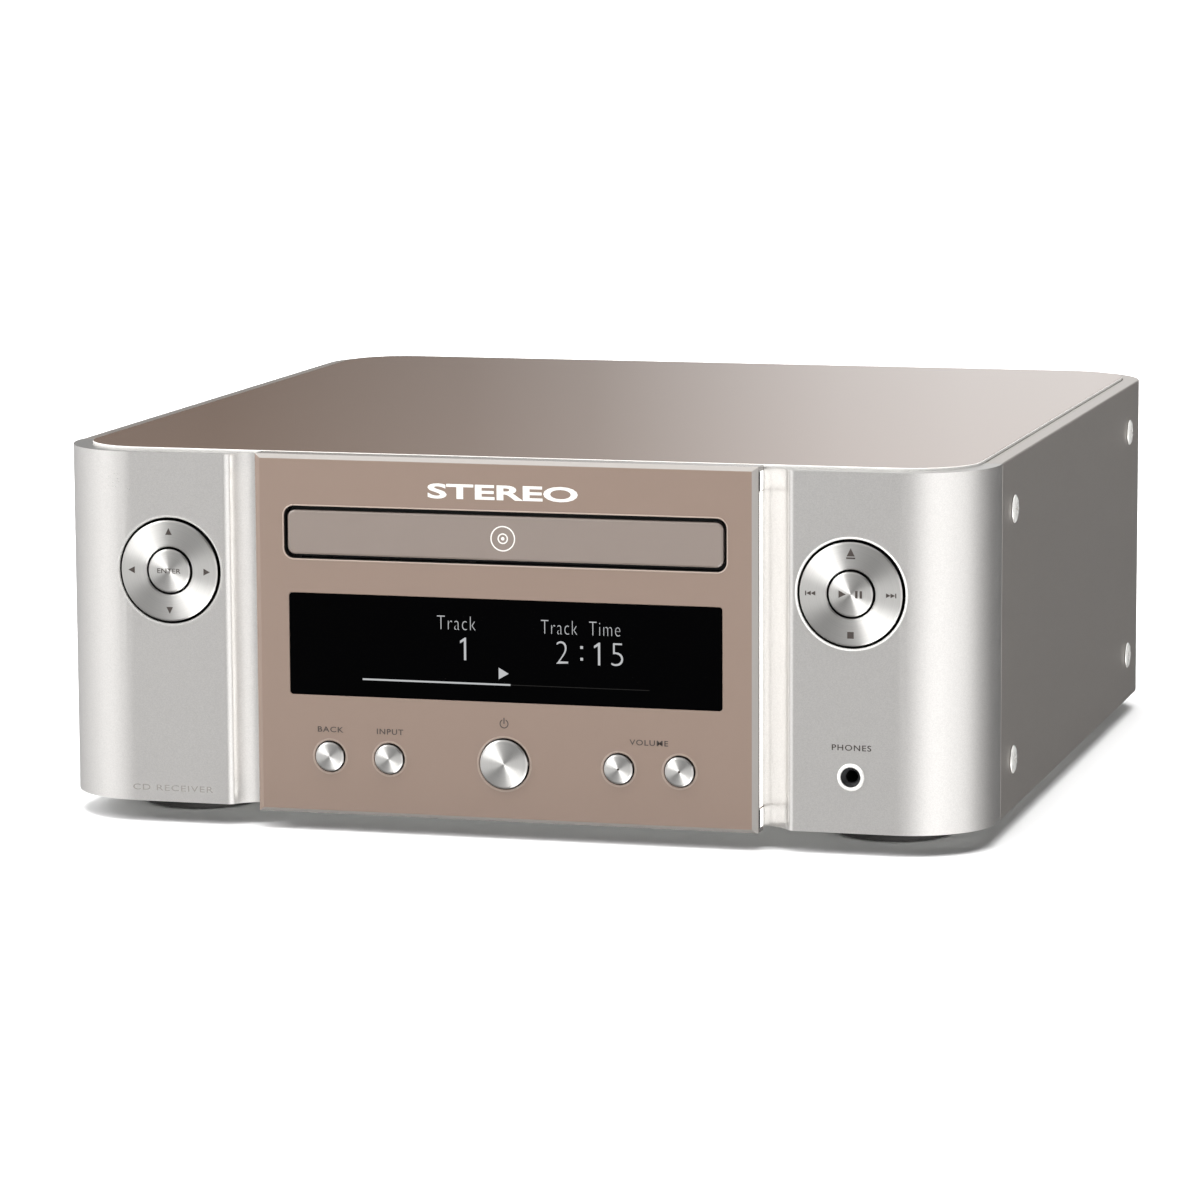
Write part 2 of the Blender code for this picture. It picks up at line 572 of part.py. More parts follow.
def tuner_module(bright):
    can = block(-86, -66, 265.5, 287.8, 28, 56)
    barrel = [(1.0, 287.0), (4.7, 287.0), (4.7, 299.0), (1.0, 299.0)]
    piece("tuner_module", bright, can, add=[turned(barrel, "Y", -76, 44, 14)],
          cut=[rod(-76, 44, 1.0, "Y", 280, 290, 10)])


# ---- rear ----

def rear_panel(steel):
    sheet = block(-PANEL_HALF, PANEL_HALF, *PANEL_Y, 8.2, 107.1)
    openings = [
        block(31.6, 109.4, 287, 291, 26.6, 47.4),
        block(-20.4, 8.4, 287, 291, 27.6, 58.4),
        block(-56.4, -39.6, 287, 291, 26.8, 41.4),
        block(-36.9, -26.6, 287, 291, 26.8, 38.4),
        rod(-76, 44, 5.1, "Y", 287, 291, 16),
        block(-108.4, -89.6, 287, 291, 26.6, 39.4),
    ]
    vents = [prism(rounded(-92 + 15 * i, -88 + 15 * i, 70, 98, 1.5, 1), "Y", 287, 291) for i in range(13)]
    piece("rear_panel", steel, sheet, cut=openings + vents)


def speaker_terminals(black, finishes):
    base = block(32, 109, 277, 292, 27, 47)
    studs = [rod(x, POST_Z, 2.0, "Y", 291, 299.6, 14) for x in POST_X]
    piece("speaker_terminals", black, base, add=studs)
    for number, x in enumerate(POST_X, 1):
        outline = []
        for i in range(20):
            angle = 2 * math.pi * i / 20
            radius = 7.0 if i % 2 else 6.4
            outline.append((x + radius * math.cos(angle), POST_Z + radius * math.sin(angle)))
        piece(f"speaker_post_{number}", finishes[number % 2], prism(outline, "Y", 292.3, REARMOST_Y),
              cut=[rod(x, POST_Z, 2.35, "Y", 290, 302, 14)], origin=(x, 292.3, POST_Z))


def analogue_sockets(black):
    base = block(-20, 8, 277, 290.6, 28, 58)
    barrels = [rod(x, z, 4.1, "Y", 290.2, 300.0, 14) for x in (-13, 1) for z in (36, 50)]
    bores = [rod(x, z, 1.6, "Y", 292, 301, 8) for x in (-13, 1) for z in (36, 50)]
    piece("analogue_sockets", black, base, add=barrels, cut=bores)


def mains_inlet(black):
    body = block(-108, -90, 268, 291.5, 27, 39)
    made = piece("mains_inlet", black, body, cut=[prism(rounded(-106.6, -91.4, 28.6, 37.4, 4.2, 4), "Y", 279, 293)])
    boolean(made, [rod(x, 33, 1.2, "Y", 277, 289.5, 10) for x in (-103.3, -94.7)], "UNION", (0.0, CENTRE_Y, 0.0))


def build():
    clear_scene()
    silver = material("Silver paint", (0.55, 0.53, 0.51), 0.32, 0.85)
    rose_acrylic = material("Rose-tinted acrylic", (0.40, 0.31, 0.26), 0.12)
    smoke_glass = material("Smoked window", (0.005, 0.005, 0.006), 0.05)
    clear_plastic = material("Clear light guide", (0.9, 0.9, 0.9), 0.1)
    spun_alloy = material("Spun aluminium", (0.75, 0.74, 0.72), 0.25, 1.0)
    steel = material("Zinc-plated steel", (0.55, 0.56, 0.57), 0.4, 0.9)
    bright_metal = material("Bright nickel", (0.7, 0.69, 0.67), 0.2, 1.0)
    black_plastic = material("Black plastic", (0.02, 0.02, 0.022), 0.45)
    red_plastic = material("Red plastic", (0.45, 0.02, 0.02), 0.4)
    white_nylon = material("White nylon", (0.8, 0.8, 0.77), 0.5)
    circuit_board = material("Circuit board", (0.02, 0.16, 0.07), 0.45)
    rubber = material("Foot rubber", (0.03, 0.03, 0.03), 0.7)

    front_bezel(silver)
    case_cover(silver)
    top_plate(rose_acrylic)
    bottom_chassis(steel)
    feet(rubber)
    case_screws(bright_metal)
    centre_fascia(rose_acrylic)
    display(smoke_glass, circuit_board)
    light_guides(clear_plastic)
    fascia_buttons(spun_alloy)
    ring_controls(spun_alloy)
    headphone_jack(bright_metal)
    tray_door(rose_acrylic)
    disc_tray(black_plastic)
    loader_frame(black_plastic)
    loading_train(steel, white_nylon)
    clamp(steel, black_plastic)
    traverse(steel, steel, black_plastic, bright_metal, black_plastic)
    front_board(circuit_board)
    main_board(circuit_board)
    heatsink(spun_alloy)
    power_supply_board(circuit_board)
    network_board(circuit_board)
    tuner_module(bright_metal)
    rear_panel(steel)
    speaker_terminals(black_plastic, (red_plastic, black_plastic))
    analogue_sockets(black_plastic)
    mains_inlet(black_plastic)


build()
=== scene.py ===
import math

import bmesh
import bpy
from mathutils import Matrix, Vector


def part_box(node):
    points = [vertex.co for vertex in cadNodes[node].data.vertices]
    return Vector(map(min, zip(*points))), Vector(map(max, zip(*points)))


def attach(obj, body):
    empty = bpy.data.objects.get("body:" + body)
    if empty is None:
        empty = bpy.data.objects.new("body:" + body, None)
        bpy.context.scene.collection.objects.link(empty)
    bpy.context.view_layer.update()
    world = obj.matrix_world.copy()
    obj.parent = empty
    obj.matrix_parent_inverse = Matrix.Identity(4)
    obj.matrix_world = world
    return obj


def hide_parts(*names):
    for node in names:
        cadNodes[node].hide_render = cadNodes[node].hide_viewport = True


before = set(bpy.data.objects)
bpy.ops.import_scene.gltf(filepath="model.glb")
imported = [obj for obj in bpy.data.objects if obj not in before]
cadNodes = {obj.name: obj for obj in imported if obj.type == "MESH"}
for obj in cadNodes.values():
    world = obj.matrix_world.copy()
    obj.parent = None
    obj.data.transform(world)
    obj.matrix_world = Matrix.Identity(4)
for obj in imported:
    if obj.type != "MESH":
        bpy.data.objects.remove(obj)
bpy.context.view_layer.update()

# Shapes are drawn in millimetres: X right, Y back from the face of the wings, Z up from the floor
mm = 0.001
toRow = Matrix.Translation((0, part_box("front_bezel")[0].y, 0)) @ Matrix.Scale(mm, 4)
fromRow = toRow.inverted()


def inMillimetres(node):
    low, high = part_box(node)
    return fromRow @ low, fromRow @ high


# One flat face; a point may carry a third number, the radius that its corner is rounded to
def flatShape(points, axis="Y", at=0.0, steps=8):
    place = {"X": lambda a, b: (at, a, b), "Y": lambda a, b: (a, at, b), "Z": lambda a, b: (a, b, at)}[axis]
    bm = bmesh.new()
    corners = [bm.verts.new(place(point[0], point[1])) for point in points]
    bm.faces.new(corners)
    for vert, point in zip(corners, points):
        if len(point) > 2 and point[2] > 0:
            one, other = [edge.other_vert(vert).co - vert.co for edge in vert.link_edges]
            reach = point[2] / math.tan(one.angle(other) / 2)
            bmesh.ops.bevel(bm, geom=[vert], offset=reach, segments=steps, profile=0.5, affect="VERTICES",
                            material=-1)
    return bm


def roundedFace(a0, a1, b0, b1, radius=0.0, axis="Y", at=0.0, steps=8):
    return flatShape([(a0, b0, radius), (a1, b0, radius), (a1, b1, radius), (a0, b1, radius)], axis, at, steps)


def pushOut(bm, depth, axis="Y"):
    grown = bmesh.ops.extrude_face_region(bm, geom=bm.faces[:])
    shift = {"X": (depth, 0, 0), "Y": (0, depth, 0), "Z": (0, 0, depth)}[axis]
    bmesh.ops.translate(bm, verts=[v for v in grown["geom"] if isinstance(v, bmesh.types.BMVert)], vec=shift)
    bmesh.ops.recalc_face_normals(bm, faces=bm.faces)
    return bm


def slab(a0, a1, b0, b1, start, end, radius=0.0, axis="Y", steps=8):
    return pushOut(roundedFace(a0, a1, b0, b1, radius, axis, start, steps), end - start, axis)


def boxShape(x0, x1, y0, y1, z0, z1):
    return slab(x0, x1, y0, y1, z0, z1, axis="Z")


def disc(a, b, radius, start, end, axis="Y", sides=64):
    bm = bmesh.new()
    bmesh.ops.create_circle(bm, cap_ends=True, segments=sides, radius=radius)
    quarter = math.pi / 2
    turn = {"X": Matrix.Rotation(quarter, 4, "Y"), "Y": Matrix.Rotation(quarter, 4, "X"),
            "Z": Matrix.Identity(4)}[axis]
    move = {"X": (start, a, b), "Y": (a, start, b), "Z": (a, b, start)}[axis]
    bmesh.ops.transform(bm, matrix=Matrix.Translation(move) @ turn, verts=bm.verts)
    return pushOut(bm, end - start, axis)


# Spin a chain of (radius, height) about an axis through (a, b)
def turned(profile, a, b, axis="Y", steps=96, closed=False):
    bm = bmesh.new()
    chain = [bm.verts.new((radius, 0, height)) for radius, height in profile]
    links = [bm.edges.new(pair) for pair in zip(chain, chain[1:] + (chain[:1] if closed else []))]
    bmesh.ops.spin(bm, geom=chain + links, cent=(0, 0, 0), axis=(0, 0, 1), angle=2 * math.pi, steps=steps,
                   use_merge=True)
    bmesh.ops.remove_doubles(bm, verts=bm.verts, dist=1e-4)
    quarter = math.pi / 2
    turn = {"X": Matrix.Rotation(quarter, 4, "Y"), "Y": Matrix.Rotation(-quarter, 4, "X"),
            "Z": Matrix.Identity(4)}[axis]
    move = {"X": (0, a, b), "Y": (a, 0, b), "Z": (a, b, 0)}[axis]
    bmesh.ops.transform(bm, matrix=Matrix.Translation(move) @ turn, verts=bm.verts)
    bmesh.ops.recalc_face_normals(bm, faces=bm.faces)
    return bm


# A ring of square section between two radii and two heights
def band(inner, outer, low, high, a, b, steps=96):
    return turned([(inner, low), (outer, low), (outer, high), (inner, high)], a, b, steps=steps, closed=True)


def together(*shapes):
    whole = bmesh.new()
    spare = bpy.data.meshes.new("spare")
    for shape in shapes:
        shape.to_mesh(spare)
        shape.free()
        whole.from_mesh(spare)
    bpy.data.meshes.remove(spare)
    return whole


def moved(bm, matrix):
    bmesh.ops.transform(bm, matrix=matrix, verts=bm.verts)
    return bm


def plainObject(name, bm):
    mesh = bpy.data.meshes.new(name)
    bm.to_mesh(mesh)
    bm.free()
    made = bpy.data.objects.new(name, mesh)
    bpy.context.scene.collection.objects.link(made)
    return made


# Take the cutting shapes away from a shape, or weld them to it
def carved(bm, shapes, operation="DIFFERENCE"):
    target = plainObject("carveTarget", bm)
    tool = plainObject("carveTool", together(*shapes))
    step = target.modifiers.new("carve", "BOOLEAN")
    step.operation, step.solver, step.use_self, step.object = operation, "EXACT", True, tool
    bpy.context.view_layer.update()
    mesh = bpy.data.meshes.new_from_object(target.evaluated_get(bpy.context.evaluated_depsgraph_get()))
    made = bmesh.new()
    made.from_mesh(mesh)
    for thing in (target, tool):
        bpy.data.meshes.remove(thing.data)
    bpy.data.meshes.remove(mesh)
    bmesh.ops.remove_doubles(made, verts=made.verts, dist=1e-4)
    bmesh.ops.dissolve_degenerate(made, dist=1e-4, edges=made.edges)
    return made


# Lettering stands upright, facing the front, fitted to a width and a height
def lettering(words, x, z, width, height, faceY, bold=0.0, thick=0.03, facing=-1, spread=1.0):
    curve = bpy.data.curves.new("lettering", "FONT")
    curve.body, curve.align_x, curve.align_y = words, "CENTER", "CENTER"
    curve.offset, curve.resolution_u, curve.space_character = bold, 4, spread
    text = bpy.data.objects.new("lettering", curve)
    bpy.context.scene.collection.objects.link(text)
    bpy.context.view_layer.update()
    mesh = bpy.data.meshes.new_from_object(text.evaluated_get(bpy.context.evaluated_depsgraph_get()))
    bm = bmesh.new()
    bm.from_mesh(mesh)
    bpy.data.objects.remove(text)
    bpy.data.curves.remove(curve)
    bpy.data.meshes.remove(mesh)
    bmesh.ops.remove_doubles(bm, verts=bm.verts, dist=1e-5)
    low = [min(v.co[i] for v in bm.verts) for i in (0, 1)]
    high = [max(v.co[i] for v in bm.verts) for i in (0, 1)]
    middle = Matrix.Translation((-(low[0] + high[0]) / 2, -(low[1] + high[1]) / 2, 0))
    fit = Matrix.Diagonal((width / (high[0] - low[0]), height / (high[1] - low[1]), 1, 1))
    stand = Matrix.Rotation(math.pi / 2, 4, "X")
    if facing > 0:
        stand = Matrix.Rotation(math.pi, 4, "Z") @ stand
    moved(bm, Matrix.Translation((x, faceY, z)) @ stand @ fit @ middle)
    return pushOut(bm, facing * thick)


# Put a shape in the row frame, give it its finish and hang it on its body
def finished(name, bm, finish, body="root", stands=(), edge=0.0, segments=2, sharp=32, angle=40,
             weighted=True, second=None, onSecond=None):
    bm.normal_update()
    for face in bm.faces:
        face.material_index = 1 if second and onSecond(face.calc_center_median(), face.normal) else 0
    bmesh.ops.transform(bm, matrix=toRow, verts=bm.verts)
    made = plainObject(name, bm)
    made.data.shade_smooth()
    made.data.set_sharp_from_angle(angle=math.radians(sharp))
    for each in (finish, second):
        if each:
            made.data.materials.append(each)
    if edge:
        rounding = made.modifiers.new("edges", "BEVEL")
        rounding.width, rounding.segments, rounding.profile = edge * mm, segments, 0.5
        rounding.limit_method, rounding.angle_limit = "ANGLE", math.radians(angle)
        rounding.harden_normals = True
    if weighted:
        level = made.modifiers.new("normals", "WEIGHTED_NORMAL")
        level.keep_sharp, level.weight = True, 60
    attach(made, body)
    if stands:
        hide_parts(*stands)
    return made


# The U axis runs out from the axis of a spun face, so its shine spreads across the turning marks
def spunMap(piece, x, z):
    layer = piece.data.uv_layers.new(name="spun")
    centre = toRow @ Vector((x, 0, z))
    for face in piece.data.polygons:
        middle = math.atan2(face.center.z - centre.z, face.center.x - centre.x)
        for loop in face.loop_indices:
            place = piece.data.vertices[piece.data.loops[loop].vertex_index].co - centre
            radius = math.hypot(place.x, place.z)
            around = math.atan2(place.z, place.x) if radius > 1e-6 else middle
            around = middle + (around - middle + math.pi) % (2 * math.pi) - math.pi
            layer.data[loop].uv = (radius * 20, around / (2 * math.pi))


def addNode(tree, kind, inputs=None, **settings):
    made = tree.nodes.new(kind)
    for key, value in settings.items():
        setattr(made, key, value)
    for key, value in (inputs or {}).items():
        if isinstance(value, bpy.types.NodeSocket):
            tree.links.new(value, made.inputs[key])
        else:
            made.inputs[key].default_value = value
    return made


surface = (("Color", "NodeSocketColor"), ("Roughness", "NodeSocketFloat"), ("Height", "NodeSocketFloat"))


# Every effect takes a place and a tone; the kind of each further input follows from its value
def newEffect(name, gives=surface, **takes):
    group = bpy.data.node_groups.new(name, "ShaderNodeTree")
    for label, value in {"Place": (0, 0, 0), "Tone": (0.5, 0.5, 0.5, 1), **takes}.items():
        size = len(value) if isinstance(value, tuple) else 1
        kind = {1: "NodeSocketFloat", 3: "NodeSocketVector", 4: "NodeSocketColor"}[size]
        made = group.interface.new_socket(label.replace("_", " "), in_out="INPUT", socket_type=kind)
        made.default_value = value
    for label, kind in gives:
        group.interface.new_socket(label, in_out="OUTPUT", socket_type=kind)
    return group, group.nodes.new("NodeGroupInput").outputs, group.nodes.new("NodeGroupOutput").inputs


def maths(tree, operation, first, second=0.0, third=0.0):
    return addNode(tree, "ShaderNodeMath", {0: first, 1: second, 2: third}, operation=operation).outputs[0]


def remap(tree, value, low, high, toLow, toHigh):
    return addNode(tree, "ShaderNodeMapRange", {"Value": value, "From Min": low, "From Max": high,
                                                "To Min": toLow, "To Max": toHigh}).outputs["Result"]


def blendColour(tree, factor, one, other, kind="MIX"):
    mix = addNode(tree, "ShaderNodeMix", data_type="RGBA", blend_type=kind)
    for socket, value in ((mix.inputs[0], factor), (mix.inputs[6], one), (mix.inputs[7], other)):
        if isinstance(value, bpy.types.NodeSocket):
            tree.links.new(value, socket)
        else:
            socket.default_value = value
    return mix.outputs[2]


def noise(tree, place, scale, detail=2.0, roughness=0.5):
    return addNode(tree, "ShaderNodeTexNoise", {"Vector": place, "Scale": scale, "Detail": detail,
                                                "Roughness": roughness}).outputs[0]


# Noise that changes only with one number
def noiseAlong(tree, value, detail=2.0):
    return addNode(tree, "ShaderNodeTexNoise", {"W": value, "Scale": 1.0, "Detail": detail},
                   noise_dimensions="1D").outputs[0]


# A pattern round 0.5 becomes a change of this size about a base
def vary(tree, pattern, size, base):
    return maths(tree, "MULTIPLY_ADD", maths(tree, "SUBTRACT", pattern, 0.5), size, base)


# The tone lifted or dimmed, the shine and the relief leave the effect
def giveSurface(tree, take, give, lift, rough, height):
    shade = addNode(tree, "ShaderNodeCombineColor", {0: lift, 1: lift, 2: lift}).outputs[0]
    tone = blendColour(tree, 1.0, take["Tone"], shade, "MULTIPLY")
    for label, value in (("Color", tone), ("Roughness", rough), ("Height", height)):
        tree.links.new(value, give[label])
    return tree


# Speckled metallic paint: fine flakes that differ a little in tone, over slow drifts of tone
def makePaintFlake():
    tree, take, give = newEffect("paintFlake", Flake_Size=0.00022, Contrast=0.12, Satin=0.3)
    scale = maths(tree, "DIVIDE", 1.0, take["Flake Size"])
    flakes = addNode(tree, "ShaderNodeTexVoronoi", {"Vector": take["Place"], "Scale": scale}, feature="F1")
    drift = noise(tree, take["Place"], 35.0, 3.0)
    tone = addNode(tree, "ShaderNodeSeparateColor", {"Color": flakes.outputs["Color"]}).outputs[0]
    lift = vary(tree, drift, 0.025, vary(tree, tone, take["Contrast"], 1.0))
    rough = vary(tree, tone, 0.04, vary(tree, drift, 0.03, take["Satin"]))
    return giveSurface(tree, take, give, lift, rough, tone)


# Fine turning marks around an axis: rings that differ in shine
def makeSpunRings():
    tree, take, give = newEffect("spunRings", Pitch=0.0003, Satin=0.25)
    part = addNode(tree, "ShaderNodeSeparateXYZ", {0: take["Place"]}).outputs
    flat = addNode(tree, "ShaderNodeCombineXYZ", {0: part[0], 1: part[2]}).outputs[0]
    radius = addNode(tree, "ShaderNodeVectorMath", {0: flat}, operation="LENGTH").outputs["Value"]
    rings = noiseAlong(tree, maths(tree, "DIVIDE", radius, take["Pitch"]))
    wide = noiseAlong(tree, maths(tree, "MULTIPLY", radius, 900.0))
    lift = vary(tree, wide, 0.10, vary(tree, rings, 0.16, 1.0))
    return giveSurface(tree, take, give, lift, vary(tree, rings, 0.14, take["Satin"]), rings)


# Moulded or powdery texture: small soft grains with a slow change of shine
def makeMouldGrain():
    tree, take, give = newEffect("mouldGrain", Grain=0.0004, Contrast=0.2, Drift=0.06, Satin=0.45)
    grain = noise(tree, take["Place"], maths(tree, "DIVIDE", 1.0, take["Grain"]))
    drift = noise(tree, take["Place"], 60.0, 4.0)
    lift = vary(tree, drift, take["Drift"], vary(tree, grain, take["Contrast"], 1.0))
    return giveSurface(tree, take, give, lift, vary(tree, drift, take["Drift"], take["Satin"]), grain)


# Rolling or drawing lines along one way of the sheet
def makeDrawnLines():
    tree, take, give = newEffect("drawnLines", Stretch=(40, 4000, 4000), Satin=0.35)
    drawn = addNode(tree, "ShaderNodeVectorMath", {0: take["Place"], 1: take["Stretch"]}, operation="MULTIPLY")
    lines = noise(tree, drawn.outputs[0], 1.0, 3.0)
    spots = noise(tree, take["Place"], 90.0, 4.0)
    lift = vary(tree, spots, 0.12, vary(tree, lines, 0.25, 1.0))
    return giveSurface(tree, take, give, lift, vary(tree, spots, 0.25, take["Satin"]), lines)


# Settled dust: thin, patchy and only on faces that look up
def makeDust():
    tree, take, give = newEffect("settledDust", (("Color", "NodeSocketColor"),), Amount=0.06)
    normal = addNode(tree, "ShaderNodeNewGeometry").outputs["Normal"]
    up = addNode(tree, "ShaderNodeSeparateXYZ", {0: normal}).outputs[2]
    patch = noise(tree, take["Place"], 130.0, 8.0, 0.7)
    upper, patches = remap(tree, up, 0.5, 1.0, 0.0, 1.0), remap(tree, patch, 0.42, 0.75, 0.0, 1.0)
    mask = maths(tree, "MULTIPLY", maths(tree, "MULTIPLY", upper, patches), take["Amount"])
    tree.links.new(blendColour(tree, mask, take["Tone"], (0.62, 0.60, 0.56, 1)), give["Color"])
    return tree


paintFlake, spunRings, mouldGrain, drawnLines, settledDust = (
    makePaintFlake(), makeSpunRings(), makeMouldGrain(), makeDrawnLines(), makeDust())
print("effects made")


def newFinish(name, **values):
    made = bpy.data.materials.new(name)
    made.use_nodes = True
    shader = made.node_tree.nodes["Principled BSDF"]
    for key, value in values.items():
        shader.inputs[key.replace("_", " ")].default_value = value
    return made, made.node_tree, shader


# A finish from one shared effect: its colour and shine, its relief as a bump, and dust if the piece gathers it
def effectFinish(name, effect, inputs, relief=0.1, reliefDepth=0.00002, dust=0.0, centre=None, **values):
    made, tree, shader = newFinish(name, **values)
    place = addNode(tree, "ShaderNodeTexCoord").outputs["Object"]
    if centre:
        place = addNode(tree, "ShaderNodeMapping", {"Vector": place, "Location": centre}).outputs[0]
    group = addNode(tree, "ShaderNodeGroup", node_tree=effect)
    tree.links.new(place, group.inputs["Place"])
    for key, value in inputs.items():
        group.inputs[key].default_value = value
    tone = group.outputs["Color"]
    if dust:
        film = addNode(tree, "ShaderNodeGroup", node_tree=settledDust)
        tree.links.new(place, film.inputs["Place"])
        tree.links.new(tone, film.inputs["Tone"])
        film.inputs["Amount"].default_value = dust
        tone = film.outputs["Color"]
    tree.links.new(tone, shader.inputs["Base Color"])
    tree.links.new(group.outputs["Roughness"], shader.inputs["Roughness"])
    bump = addNode(tree, "ShaderNodeBump", {"Height": group.outputs["Height"], "Strength": relief,
                                            "Distance": reliefDepth})
    tree.links.new(bump.outputs[0], shader.inputs["Normal"])
    return made


def painted(name, tone, satin):
    return effectFinish(name, paintFlake, {"Tone": (*tone, 1), "Satin": satin}, relief=0.03, Metallic=0.92)


def moulded(name, tone, satin, relief, grain=0.0004, contrast=0.2, drift=0.06, **more):
    inputs = {"Tone": (*tone, 1), "Satin": satin, "Grain": grain, "Contrast": contrast, "Drift": drift}
    return effectFinish(name, mouldGrain, inputs, relief, **more)


def drawn(name, tone, satin, relief, stretch=(900, 900, 900), metallic=1.0, **more):
    inputs = {"Tone": (*tone, 1), "Satin": satin, "Stretch": stretch}
    return effectFinish(name, drawnLines, inputs, relief, Metallic=metallic, **more)


# Clear acrylic over a tinted back: an even tone under a coat
def acrylic(name, tone, satin=0.34, relief=0.02, grain=0.0004, drift=0.02, coat=0.5, coatSatin=0.12, **more):
    return moulded(name, tone, satin, relief, grain, 0.02, drift, Coat_Weight=coat, Coat_Roughness=coatSatin,
                   **more)


silverPaint = painted("silverPaint", (0.63, 0.615, 0.598), 0.30)
silverCase = painted("silverCase", (0.635, 0.59, 0.55), 0.31)
roseAcrylic = acrylic("roseAcrylic", (0.186, 0.136, 0.109), grain=0.0006, Specular_IOR_Level=0.2)
topAcrylic = acrylic("topAcrylic", (0.145, 0.106, 0.085), 0.4, 0.0, 0.0008, coat=1.0, coatSatin=0.05,
                     dust=0.006, Coat_IOR=1.5, Specular_IOR_Level=0.0)
doorAcrylic = acrylic("doorAcrylic", (0.176, 0.145, 0.127), grain=0.0006, Specular_IOR_Level=0.2)
clearEdgeAndHighlight = acrylic("clearEdgeAndHighlight", (0.23, 0.215, 0.20), 0.2, 0.0, drift=0.03, coatSatin=0.1)
collarAcrylic = acrylic("collarAcrylic", (0.235, 0.18, 0.148), 0.3)
roseLip = acrylic("roseLip", (0.31, 0.245, 0.205), 0.3, drift=0.06, coat=0.6, coatSatin=0.1)
smokedWindow = moulded("smokedWindow", (0.0006, 0.0006, 0.0007), 0.12, 0.0, Specular_IOR_Level=0.008)
blackPlastic = moulded("blackPlastic", (0.018, 0.018, 0.02), 0.45, 0.35, 0.0005, dust=0.005)
deepBlack = moulded("deepBlack", (0.006, 0.006, 0.006), 0.7, 0.2)
redPlastic = moulded("redPlastic", (0.42, 0.018, 0.016), 0.38, 0.2, 0.0005)
whitePlastic = moulded("whitePlastic", (0.74, 0.72, 0.68), 0.42, 0.15, 0.0006)
nylon = moulded("nylon", (0.76, 0.745, 0.69), 0.5, 0.2, 0.0009, Subsurface_Weight=0.1, Subsurface_Scale=0.001)
footRubber = moulded("footRubber", (0.022, 0.021, 0.02), 0.72, 0.5, 0.0007, 0.4)
powderCoat = moulded("powderCoat", (0.017, 0.017, 0.018), 0.5, 0.8, 0.0006, 0.35, reliefDepth=0.00006)
platedSteel = drawn("platedSteel", (0.52, 0.52, 0.50), 0.36, 0.15, (40, 4000, 4000), dust=0.05)
finAlloy = drawn("finAlloy", (0.56, 0.57, 0.58), 0.38, 0.3, (4000, 60, 4000), dust=0.08)
brightNickel = drawn("brightNickel", (0.70, 0.69, 0.67), 0.18, 0.05)
# The case screws are nickel made half matte and near white: real nickel with a painted highlight
screwNickelAndGlint = drawn("screwNickelAndGlint", (0.88, 0.87, 0.84), 0.4, 0.05, metallic=0.55)
goldPlate = drawn("goldPlate", (0.72, 0.50, 0.20), 0.24, 0.05)
darkInk = moulded("darkInk", (0.035, 0.026, 0.022), 0.5, 0.05)
paleInk = moulded("paleInk", (0.62, 0.60, 0.57), 0.45, 0.05)
softInk = moulded("softInk", (0.22, 0.205, 0.19), 0.5, 0.05)
# Pale and grey matte tones that stand for light and shade: the pale one is painted light on the top plate's sides,
# the right ring's rim and the jack's ring; the grey one is painted shade on the left ring's rim
paintedShadeGrey = moulded("paintedShadeGrey", (0.36, 0.355, 0.34), 0.3, 0.05)
paintedLightPale = moulded("paintedLightPale", (0.62, 0.61, 0.59), 0.3, 0.05)


def glowFinish(name, tone, strength, body=1.0):
    made, tree, shader = newFinish(name, Roughness=0.25, Emission_Strength=strength, Specular_IOR_Level=0.1)
    place = addNode(tree, "ShaderNodeTexCoord").outputs["Object"]
    drift = noise(tree, place, 25.0)
    dim = tuple(0.93 * part for part in tone[:3]) + (1,)
    mix = blendColour(tree, drift, dim, tone)
    tree.links.new(mix, shader.inputs["Emission Color"])
    tree.links.new(blendColour(tree, body, (0.004, 0.004, 0.004, 1), mix), shader.inputs["Base Color"])
    return made


guideGlow = glowFinish("guideGlow", (1.0, 0.99, 0.97, 1), 0.75)
displayGlow = glowFinish("displayGlow", (0.50, 0.51, 0.52, 1), 1.05, 0.0)
displayDim = glowFinish("displayDim", (0.022, 0.02, 0.018, 1), 0.4, 0.0)


# Spun metal needs its own axis: the marks centre on it, and the shine spreads across them
def spunFinish(name, x, z):
    centre = tuple(-part for part in toRow @ Vector((x, 0, z)))
    made = effectFinish(name, spunRings, {"Tone": (0.66, 0.65, 0.63, 1), "Satin": 0.42}, relief=0.12,
                        centre=centre, Metallic=1.0, Anisotropic=0.97)
    tree = made.node_tree
    tangent = addNode(tree, "ShaderNodeTangent", direction_type="UV_MAP", uv_map="spun")
    tree.links.new(tangent.outputs[0], tree.nodes["Principled BSDF"].inputs["Tangent"])
    return made


